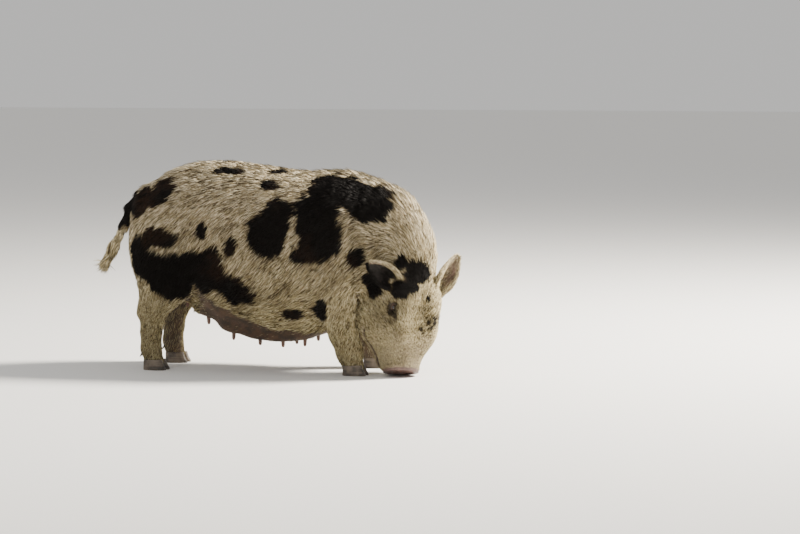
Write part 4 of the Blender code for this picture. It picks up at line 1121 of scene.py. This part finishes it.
# Meshes
def linkMesh(name, points, faces, material=None, outwards=False):
    mesh = bpy.data.meshes.new(name)
    faces = faces.tolist() if isinstance(faces, np.ndarray) else faces
    mesh.from_pydata(np.asarray(points).tolist(), [], faces)
    if outwards:
        bm = bmesh.new()
        bm.from_mesh(mesh)
        bmesh.ops.recalc_face_normals(bm, faces=bm.faces)
        bm.to_mesh(mesh)
        bm.free()
    mesh.shade_smooth()
    if material:
        mesh.materials.append(material)
    piece = bpy.data.objects.new(name, mesh)
    bpy.context.scene.collection.objects.link(piece)
    return piece


def addValues(mesh, name, values, kind="FLOAT", domain="POINT"):
    attribute = mesh.attributes.new(name, kind, domain)
    key = "value" if kind == "FLOAT" else "vector"
    attribute.data.foreach_set(key, np.ascontiguousarray(values, dtype=np.float32).ravel())


# Rings of places, all of the same number, made into a tube with closed ends
def addTube(points, faces, rings):
    start, around = len(points), len(rings[0])
    for ring in rings:
        points.extend(ring)
    for a in range(start, start + (len(rings) - 1) * around, around):
        for k in range(around):
            after = (k + 1) % around
            faces.append((a + k, a + after, a + after + around, a + k + around))
    last = start + (len(rings) - 1) * around
    faces.append(tuple(range(start + around - 1, start - 1, -1)))
    faces.append(tuple(range(last, last + around)))


offset = np.array(shift)
skin = linkMesh("skin", skinPoints + offset, skinQuads, materials["skin"])
for label, values in {
    "black": skinBlack, "bare": skinBare, "disc": skinDisc, "cup": skinCup, "short": skinShort,
    "lips": skinLips, "lid": smoothStep(*bare["lidDark"], eyeDistance(skinLocal)),
}.items():
    addValues(skin.data, label, values)


# Bristles
bristle = {
    "turn": 0.20, "pitch": (-0.10, 0.09), "patch": 0.003, "longer": (0.65, 1.25), "wider": (0.7, 1.3),
    # bend of each kind of tuft: place of its middle, heights of its middle and its tip
    "kinds": [(0.42, 0.115, 0.075), (0.48, 0.090, 0.120), (0.38, 0.130, 0.030)],
    # how deep the root goes, how far the middle's corners lie below its ridge, and where they are
    "root": -0.05, "sag": 0.85, "ridge": 0.028, "middleAt": 0.55,
}


# A tuft has a root, three places round its middle and a tip, and six triangles between them
def tuftKinds():
    kinds = bpy.data.collections.new("tufts")
    bpy.context.scene.collection.children.link(kinds)
    middleAt = bristle["middleAt"]
    for n, (middle, high, tip) in enumerate(bristle["kinds"]):
        low = high * bristle["sag"]
        points = [(0, 0, bristle["root"]), (middle, -0.5, low), (middle, 0.5, low),
                  (middle, 0, high + bristle["ridge"]), (1, 0, tip)]
        faces, shown = [], []
        for k, (a, b) in enumerate(((1, 3), (3, 2), (2, 1))):
            faces += [(0, b, a), (4, a, b)]
            left, between, right = k / 3, (k + 0.5) / 3, (k + 1) / 3
            shown += [(between, 0, 0), (right, 0.5, 0), (left, 0.5, 0)]
            shown += [(between, 1, 0), (left, 0.5, 0), (right, 0.5, 0)]
        piece = linkMesh(f"tuft{n}", points, faces)
        addValues(piece.data, "tuftMap", shown, "FLOAT_VECTOR", "CORNER")
        addValues(piece.data, "tip", [0, middleAt, middleAt, middleAt, 1])
        bpy.context.scene.collection.objects.unlink(piece)
        kinds.objects.link(piece)
    return kinds


class Tree(Nodes):
    def __init__(self, name, inputs):
        self.tree = bpy.data.node_groups.new(name, "GeometryNodeTree")
        self.ids = {}
        self.tree.interface.new_socket("Geometry", in_out="INPUT", socket_type="NodeSocketGeometry")
        for label, kind, value in inputs:
            socket = self.tree.interface.new_socket(label, in_out="INPUT", socket_type=kind)
            if value is not None:
                socket.default_value = value
            self.ids[label] = socket.identifier
        self.tree.interface.new_socket("Geometry", in_out="OUTPUT", socket_type="NodeSocketGeometry")
        self.start = self.tree.nodes.new("NodeGroupInput")
        self.end = self.tree.nodes.new("NodeGroupOutput")

    def given(self, label):
        return Value(self, self.start.outputs[label])

    def stored(self, name, kind="FLOAT"):
        return self.add("GeometryNodeInputNamedAttribute", {"data_type": kind}, {"Name": name})

    def random(self, low, high, seed):
        sockets = {2: low, 3: high, "Seed": seed}
        return self.add("FunctionNodeRandomValue", {"data_type": "FLOAT"}, sockets, 1)

    def store(self, geometry, name, value, kind="FLOAT", domain="POINT"):
        return self.add("GeometryNodeStoreNamedAttribute", {"data_type": kind, "domain": domain},
                        {"Geometry": geometry, "Name": name, "Value": value})


def bristleTree(kinds):
    tree = Tree("bristles", [
        ("Density", "NodeSocketFloat", 1000.0), ("Seed", "NodeSocketInt", 1),
        ("Turn", "NodeSocketFloat", bristle["turn"]),
        ("Lowest Pitch", "NodeSocketFloat", bristle["pitch"][0]),
        ("Highest Pitch", "NodeSocketFloat", bristle["pitch"][1]),
        ("Patch", "NodeSocketFloat", bristle["patch"]), ("Material", "NodeSocketMaterial", None),
    ])
    scattered = tree.node("GeometryNodeDistributePointsOnFaces", None, {
        "Mesh": tree.given("Geometry"), "Density": tree.given("Density") * tree.stored("keep"),
        "Seed": tree.given("Seed")}).outputs
    points = Value(tree, scattered["Points"])
    points = tree.store(points, "root", tree.add("GeometryNodeInputPosition"), "FLOAT_VECTOR")
    points = tree.store(points, "shade", tree.random(0.0, 1.0, 3))
    # each tuft stands on the skin's outward way and points along its lie, then turns a little
    aim = tree.add("FunctionNodeAxesToRotation", {"primary_axis": "Z", "secondary_axis": "X"}, {
        "Primary Axis": Value(tree, scattered["Normal"]),
        "Secondary Axis": tree.stored("lie", "FLOAT_VECTOR")})
    yaw = tree.random(tree.given("Turn") * -1.0, tree.given("Turn"), 4)
    pitch = tree.random(tree.given("Lowest Pitch"), tree.given("Highest Pitch"), 5) + tree.stored("lift")
    turn = tree.add("ShaderNodeCombineXYZ", None, {"Y": pitch * -1.0, "Z": yaw})
    turn = tree.add("FunctionNodeEulerToRotation", None, {0: turn})
    aim = tree.add("FunctionNodeRotateRotation", {"rotation_space": "LOCAL"},
                   {"Rotation": aim, "Rotate By": turn})
    long = tree.stored("long") * tree.random(*bristle["longer"], 6)
    wide = tree.stored("wide") * tree.random(*bristle["wider"], 7)
    size = tree.add("ShaderNodeCombineXYZ", None, {"X": long, "Y": wide, "Z": long})
    info = tree.add("GeometryNodeCollectionInfo", {"transform_space": "ORIGINAL"},
                    {"Collection": kinds, "Separate Children": True, "Reset Children": True})
    made = tree.add("GeometryNodeInstanceOnPoints", None, {
        "Points": points, "Instance": info, "Pick Instance": True, "Rotation": aim, "Scale": size})
    made = tree.add("GeometryNodeRealizeInstances", None, {"Geometry": made})
    # each tuft shows a small patch of its own, where its root lies on the coat's map
    spot = tree.vector("SCALE", tree.stored("tuftMap", "FLOAT_VECTOR"), tree.given("Patch"))
    spot = tree.vector("ADD", spot, tree.stored("rootMap", "FLOAT_VECTOR"))
    made = tree.store(made, "OFBake", spot, "FLOAT2", "CORNER")
    made = tree.add("GeometryNodeSetMaterial", None, {"Geometry": made, "Material": tree.given("Material")})
    tree.put(tree.end.inputs["Geometry"], made)
    return tree


tufts = tuftKinds()
growing = bristleTree(tufts)
# lines that the charts go round, one for each region: a height, a place on x and y, or a slope
charts = {"bodyHeight": 0.30, "legX": {"front": 0.222, "hind": -0.265}, "legY": 0.10,
          "tail": (-0.335, 0.004, 0.430, 0.62), "ear": 0.02, "margin": 0.012, "share": 0.97}


# Each chart lays one region of the skin out flat: along the region, and round it
def chartOf(name, points):
    x, y, z = points.T
    if name in ("torso", "neck"):
        return x, np.arctan2(y, z - charts["bodyHeight"])
    if name in ("front", "hind"):
        return z, np.arctan2(np.abs(y) - charts["legY"], x - charts["legX"][name])
    if name == "tail":
        startX, middleY, startZ, slope = charts["tail"]
        return z, np.arctan2(y - middleY, x - startX + slope * (startZ - z))
    local = toHead(points)
    if name == "head":
        return local[:, 0], np.arctan2(local[:, 1], local[:, 2])
    root, way, opening = (np.array(v) for v in ears[name])
    way = unit(way)
    opening = unit(opening - way * (opening @ way))
    q = local - root
    return q @ way, np.arctan2(q @ np.cross(way, opening), q @ opening - charts["ear"])


# Parts are pairs of a region and its chosen faces, and each is laid in its own strip of the map
def emitter(name, parts):
    quads = skinQuads[np.concatenate([faces for region, faces in parts])]
    used, quads = np.unique(quads, return_inverse=True)
    piece = linkMesh(name, skinPoints[used] + offset, quads.reshape(-1, 4))
    given = {"black": coatBlack, "keep": skinKeep, "long": skinLong, "wide": skinWide, "lift": skinLift}
    for label, values in given.items():
        addValues(piece.data, label, values[used])
    addValues(piece.data, "lie", skinLie[used], "FLOAT_VECTOR")
    rows = []
    for n, (region, faces) in enumerate(parts):
        corners = skinPoints[skinQuads[faces]]
        along, around = chartOf(region, corners.reshape(-1, 3))
        centre = chartOf(region, corners.mean(axis=1))[1].repeat(4)
        around = centre + (around - centre + math.pi) % (2 * math.pi) - math.pi
        flat = np.stack([along, around, np.zeros(len(along))], axis=1)
        low, high = flat.min(axis=0), flat.max(axis=0)
        flat = (flat - low) / np.maximum(high - low, 1e-6) * charts["share"] + charts["margin"]
        flat[:, 1] = (flat[:, 1] + n) / len(parts)
        rows.append(flat)
    addValues(piece.data, "rootMap", np.concatenate(rows), "FLOAT_VECTOR", "CORNER")
    return piece


def hairyArea(faces):
    p = skinPoints[skinQuads[faces]]
    area = np.linalg.norm(np.cross(p[:, 2] - p[:, 0], p[:, 3] - p[:, 1]), axis=1) / 2
    return float(np.sum(area * skinKeep[skinQuads[faces]].mean(axis=1)))


def grow(name, parts, count, seed):
    parts = [(region, faces) for region, faces in parts if len(faces)]
    piece = emitter(name, parts)
    modifier = piece.modifiers.new("bristles", "NODES")
    modifier.node_group = growing.tree
    modifier[growing.ids["Density"]] = count / sum(hairyArea(faces) for region, faces in parts)
    modifier[growing.ids["Seed"]] = seed
    modifier[growing.ids["Material"]] = materials["coat"]
    graph = bpy.context.evaluated_depsgraph_get()
    graph.update()
    mesh = bpy.data.meshes.new_from_object(piece.evaluated_get(graph))
    piece.modifiers.clear()
    piece.data = mesh
    for extra in ("rootMap", "tuftMap", "lie", "keep", "long", "wide", "lift"):
        if extra in mesh.attributes:
            mesh.attributes.remove(mesh.attributes[extra])
    print(name, len(mesh.polygons), "faces, maps", [layer.name for layer in mesh.uv_layers])
    return piece


faceRegion = skinRegion[skinQuads[:, 0]]
faceCentre = skinPoints[skinQuads].mean(axis=1)
isRight, isRear = faceCentre[:, 1] < 0, faceCentre[:, 0] < -0.05
isHeadRight = skinLocal[skinQuads].mean(axis=1)[:, 1] < 0
everywhere = np.ones(len(faceRegion), bool)
# name, parts, number of tufts
coatPieces = [
    ("coatFlankRightRear", [("torso", isRight & isRear)], 24900),
    ("coatFlankRightFront", [("torso", isRight & ~isRear)], 25400),
    ("coatFlankLeftRear", [("torso", ~isRight & isRear)], 24900),
    ("coatFlankLeftFront", [("torso", ~isRight & ~isRear)], 25400),
    ("coatNeck", [("neck", isRight), ("neck", ~isRight)], 31000),
    ("coatFaceRight", [("head", isHeadRight)], 25000),
    ("coatFaceLeft", [("head", ~isHeadRight)], 25000),
    ("coatEars", [("earLeft", everywhere), ("earRight", everywhere)], 12000),
    ("coatLegsFront", [("front", isRight), ("front", ~isRight)], 23000),
    ("coatLegsHind", [("hind", isRight), ("hind", ~isRight)], 25000),
    ("coatTail", [("tail", everywhere)], 8000),
]
coats = []
for seed, (name, parts, count) in enumerate(coatPieces, 1):
    chosen = [(region, np.flatnonzero((faceRegion == regions["names"].index(region)) & rule))
              for region, rule in parts]
    coats.append(grow(name, chosen, count, seed))


# Eyes
def eyeMiddle(mirror):
    return inHead(onSide(eye["place"], mirror)) + shift


def eyeball(name, mirror):
    look = headAxes @ eyeAxes(mirror)[0]
    centre = eyeMiddle(mirror)
    ahead = Vector((0, 0, 1))
    turn = ahead.rotation_difference(look).to_matrix()
    high, reach, falls = eye["cornea"]
    bm = bmesh.new()
    bmesh.ops.create_uvsphere(bm, u_segments=40, v_segments=28, radius=eye["radius"])
    for vertex in bm.verts:
        angle = vertex.co.angle(ahead)
        bulge = high * max(math.cos(angle * falls), 0) if angle < reach else 0
        vertex.co = turn @ (vertex.co.normalized() * (eye["radius"] + bulge)) + centre
    mesh = bpy.data.meshes.new(name)
    bm.to_mesh(mesh)
    bm.free()
    mesh.shade_smooth()
    mesh.materials.append(eyeMaterial(name, tuple(centre), tuple(look)))
    piece = bpy.data.objects.new(name, mesh)
    bpy.context.scene.collection.objects.link(piece)
    return piece


def almondPoint(angle, out):
    long, high, low = eye["almond"]
    a, c = math.cos(angle), math.sin(angle)
    height = high if c > 0 else low
    edge = np.array((long * a, height * math.copysign(abs(c) ** 1.15, c)))
    return edge + unit(np.array((a * 0.75, c))) * out


# A place at this angle round the opening, this far out from its edge, at this distance from the
# middle of the eyeball
def onBall(axes, angle, out, radius):
    look, along, across, centre = axes
    a, c = almondPoint(angle, out)
    return centre + along * a + across * c + look * math.sqrt(max(radius**2 - a * a - c * c, 1e-7))


def lashSpike(root, way, across, rng):
    long, wide = eye["lash"][0] * rng.uniform(0.7, 1.15), eye["lash"][1]
    sideA = unit(np.cross(way, across))
    sideB = np.cross(way, sideA)
    bent, tipBent = eye["lashBend"]
    spike = []
    for share, size in ((0.0, 1.0), (0.55, 0.7)):
        for j in range(3):
            turn = 2 * math.pi * j / 3
            ring = (sideA * math.cos(turn) + sideB * math.sin(turn)) * wide * size / 2
            spike.append(root + way * long * share - across * bent * share**2 + ring)
    return spike + [root + way * long - across * tipBent]


def makeLids():
    points, faces, spikes, sides = [], [], [], []
    steps, rings = eye["around"], eye["lidRings"]
    for mirror in (-1, 1):
        look, along, across = (np.array(headAxes @ v) for v in eyeAxes(mirror))
        across = across * (1 if (headTurn.T @ across)[2] > 0 else -1)
        axes = (look, along, across, np.array(eyeMiddle(mirror)))
        start = len(points)
        for out, radius in rings:
            points += [onBall(axes, 2 * math.pi * k / steps, out, radius) for k in range(steps)]
        for ring in range(len(rings)):
            a, b = start + ring * steps, start + (ring + 1) % len(rings) * steps
            faces += [(a + k, a + (k + 1) % steps, b + (k + 1) % steps, b + k) for k in range(steps)]
        rng = np.random.default_rng(5)
        for k in range(eye["lashes"]):
            begin, span = eye["lashSpan"]
            angle = math.pi * (begin + span * (k + rng.uniform(-0.3, 0.3)) / eye["lashes"])
            way = look + eye["lashFan"] * along * math.cos(angle) - eye["lashDroop"] * across
            way = unit(way + rng.normal(0, eye["lashStray"], 3))
            first = len(spikes)
            spikes += lashSpike(onBall(axes, angle, *eye["lashRoot"]), way, across, rng)
            for j in range(3):
                a, b = first + j, first + (j + 1) % 3
                sides += [(a, b, b + 3, a + 3), (a + 3, b + 3, first + 6)]
            sides.append((first + 2, first + 1, first))
    return (linkMesh("lids", points, faces, bareMaterial("lids"), outwards=True),
            linkMesh("lashes", spikes, sides, bareMaterial("lashes"), outwards=True))


lids, lashes = makeLids()
eyes = {"eye_left": eyeball("eyeLeft", 1), "eye_right": eyeball("eyeRight", -1)}
print("eyes made")


# Teats, two rows on the belly
def makeTeats():
    points, faces = [], []
    around = udder["around"]
    for mirror in (-1, 1):
        for n, x in enumerate(udder["places"]):
            top = np.array((x, mirror * udder["out"], bellyHeight(x, udder["out"]) - udder["rootDepth"]))
            forward = udder["forward"] * (1 + math.sin(n * 2.3))
            way = unit(np.array((forward, mirror * udder["outwards"], -1.0)))
            sideA = unit(np.cross(way, (0, 1, 0)))
            sideB = np.cross(way, sideA)
            size = 1 + udder["longer"] * math.sin(n * 1.7 + mirror)
            long = udder["rootLength"] + udder["teatLength"] * size
            rings = []
            for share, width in udder["rings"]:
                ring = []
                for k in range(around):
                    angle = 2 * math.pi * k / around
                    radius = udder["teatRadius"] * width * (1 + 0.05 * math.sin(3 * angle + n))
                    side = sideA * math.cos(angle) + sideB * math.sin(angle)
                    ring.append(top + way * long * share + side * radius + offset)
                rings.append(ring)
            addTube(points, faces, rings)
    piece = linkMesh("teats", points, faces, bareMaterial("teats"), outwards=True)
    finer = piece.modifiers.new("finer", "SUBSURF")
    finer.levels = finer.render_levels = 1
    return piece


teats = makeTeats()
print("teats made")

# Claws: each fills its solid's box; its wall rises from a D-shaped sole
claw = {
    "around": 44,
    # share of the height, length, width, shift back, all as shares of the box
    "rings": [(0.0, 0.955, 0.90, 0.012), (0.035, 0.985, 0.975, 0.0), (0.12, 0.985, 0.985, 0.0),
              (0.30, 0.935, 0.975, -0.022), (0.50, 0.885, 0.955, -0.045), (0.70, 0.845, 0.935, -0.062),
              (0.88, 0.815, 0.915, -0.075), (1.0, 0.80, 0.88, -0.080)],
    # how round the ends, the inner and the outer wall are, and how much each narrows to the toe
    "ends": 0.86, "inner": (0.45, 0.10, 1), "outer": (0.80, 0.30, 2), "growthRings": 0.006,
}


def makeClaws():
    points, faces = [], []
    nodes = [name for name in frame["nodes"] if name.startswith("claw")]
    for n, name in enumerate(nodes):
        low, high = (np.array(v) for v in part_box(name))
        size, middle = high - low, (low + high) / 2
        outer = 1 if ("left" in name) == name.endswith("outer") else -1
        rings = []
        for share, long, wide, back in claw["rings"]:
            ring = []
            for k in range(claw["around"]):
                angle = 2 * math.pi * k / claw["around"]
                x, y = math.cos(angle), math.sin(angle)
                power, narrows, fall = claw["inner"] if y * outer < 0 else claw["outer"]
                y = math.copysign(abs(y) ** power, y) * (1 - narrows * max(x, 0.0) ** fall)
                x = math.copysign(abs(x) ** claw["ends"], x)
                swell = claw["growthRings"] * math.sin(26 * share + 2 * math.sin(angle) + n)
                swell = 1 + swell * (0.06 < share < 0.95)
                ring.append((middle[0] + (x * long * swell / 2 + back) * size[0],
                             middle[1] + y * wide * swell * size[1] / 2, low[2] + share * size[2]))
            rings.append(ring)
        addTube(points, faces, rings)
    piece = linkMesh("claws", points, faces, materials["horn"])
    piece.data.set_sharp_from_angle(angle=math.radians(50))
    print("claws made")
    return piece, nodes


claws, clawNodes = makeClaws()

# Pieces ride on the one body and stand for the soft nodes
for name, node in frame["nodes"].items():
    if "claw" in name:
        node.data.materials.clear()
        node.data.materials.append(materials["horn"])
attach(skin, "root")
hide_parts("torso", "neck", "head", "snout", "ear_left", "ear_right", "tail",
            "leg_front_left", "leg_front_right", "leg_hind_left", "leg_hind_right")
for piece in coats:
    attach(piece, "root")
for node, piece in eyes.items():
    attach(piece, "root")
    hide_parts(node)
for piece, slot in ((lids, "skin"), (lashes, "coat_black")):
    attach(piece, "root")
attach(claws, "root")
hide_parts(*clawNodes)
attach(teats, "root")
for piece in list(tufts.objects):
    bpy.data.objects.remove(piece)
bpy.data.collections.remove(tufts)

# Floor, light and camera
stage = {
    "floor": (0.88, 0.87, 0.85), "half": 30.0, "sky": (1.0, 0.99, 0.97), "skyStrength": 0.62,
    # place, size, power, colour; all shine at this height over the origin
    "lamps": [((3.1, 1.7, 3.2), 1.3, 980, (1.0, 0.94, 0.84)),
              ((-0.9, -2.4, 1.9), 1.4, 14, (1.0, 0.98, 0.95))],
    "aim": (0, 0, 0.25),
}


def lookAt(thing, way):
    thing.rotation_mode = "QUATERNION"
    thing.rotation_quaternion = way.to_track_quat("-Z", "Y")
    bpy.context.scene.collection.objects.link(thing)


def makeStage():
    half = stage["half"]
    paint = Paint("floor")
    paint.set(baseColor=stage["floor"], roughness=0.9)
    corners = [(-half, -half, 0), (half, -half, 0), (half, half, 0), (-half, half, 0)]
    linkMesh("floor", corners, [(0, 1, 2, 3)], paint.material)
    world = bpy.data.worlds.new("studio")
    bpy.context.scene.world = world
    world.use_nodes = True
    background = world.node_tree.nodes["Background"]
    background.inputs["Color"].default_value = (*stage["sky"], 1)
    background.inputs["Strength"].default_value = stage["skyStrength"]
    for n, (place, size, power, colour) in enumerate(stage["lamps"]):
        data = bpy.data.lights.new(f"lamp{n}", "AREA")
        data.shape, data.size, data.energy, data.color = "DISK", size, power, colour
        lamp = bpy.data.objects.new(f"lamp{n}", data)
        lamp.location = place
        lookAt(lamp, Vector(stage["aim"]) - Vector(place))


view = {"azimuth": 15.0, "distance": 7.6, "height": 0.81, "width": 15.0, "originPixel": (270, 368.5),
        "frame": (800, 534), "sensor": 36}


def makeCamera():
    azimuth = math.radians(view["azimuth"])
    wide, tall = view["frame"]
    focal = wide / 2 / math.tan(math.radians(view["width"]) / 2)
    right = Vector((math.cos(azimuth), math.sin(azimuth), 0))
    back = Vector((math.sin(azimuth), -math.cos(azimuth), 0))
    across, down = view["originPixel"][0] - wide / 2, view["originPixel"][1] - tall / 2
    tilt = math.atan2(view["height"], view["distance"]) - math.atan(down / focal)
    camera = bpy.data.objects.new("camera", bpy.data.cameras.new("camera"))
    camera.location = (back * view["distance"] - right * (across / focal * view["distance"])
                       + Vector((shift.x, shift.y, view["height"])))
    lookAt(camera, -back * math.cos(tilt) - Vector((0, 0, 1)) * math.sin(tilt))
    camera.data.sensor_width = view["sensor"]
    camera.data.lens = view["sensor"] * focal / wide
    camera.data.clip_end = 100
    bpy.context.scene.camera = camera


makeStage()
makeCamera()
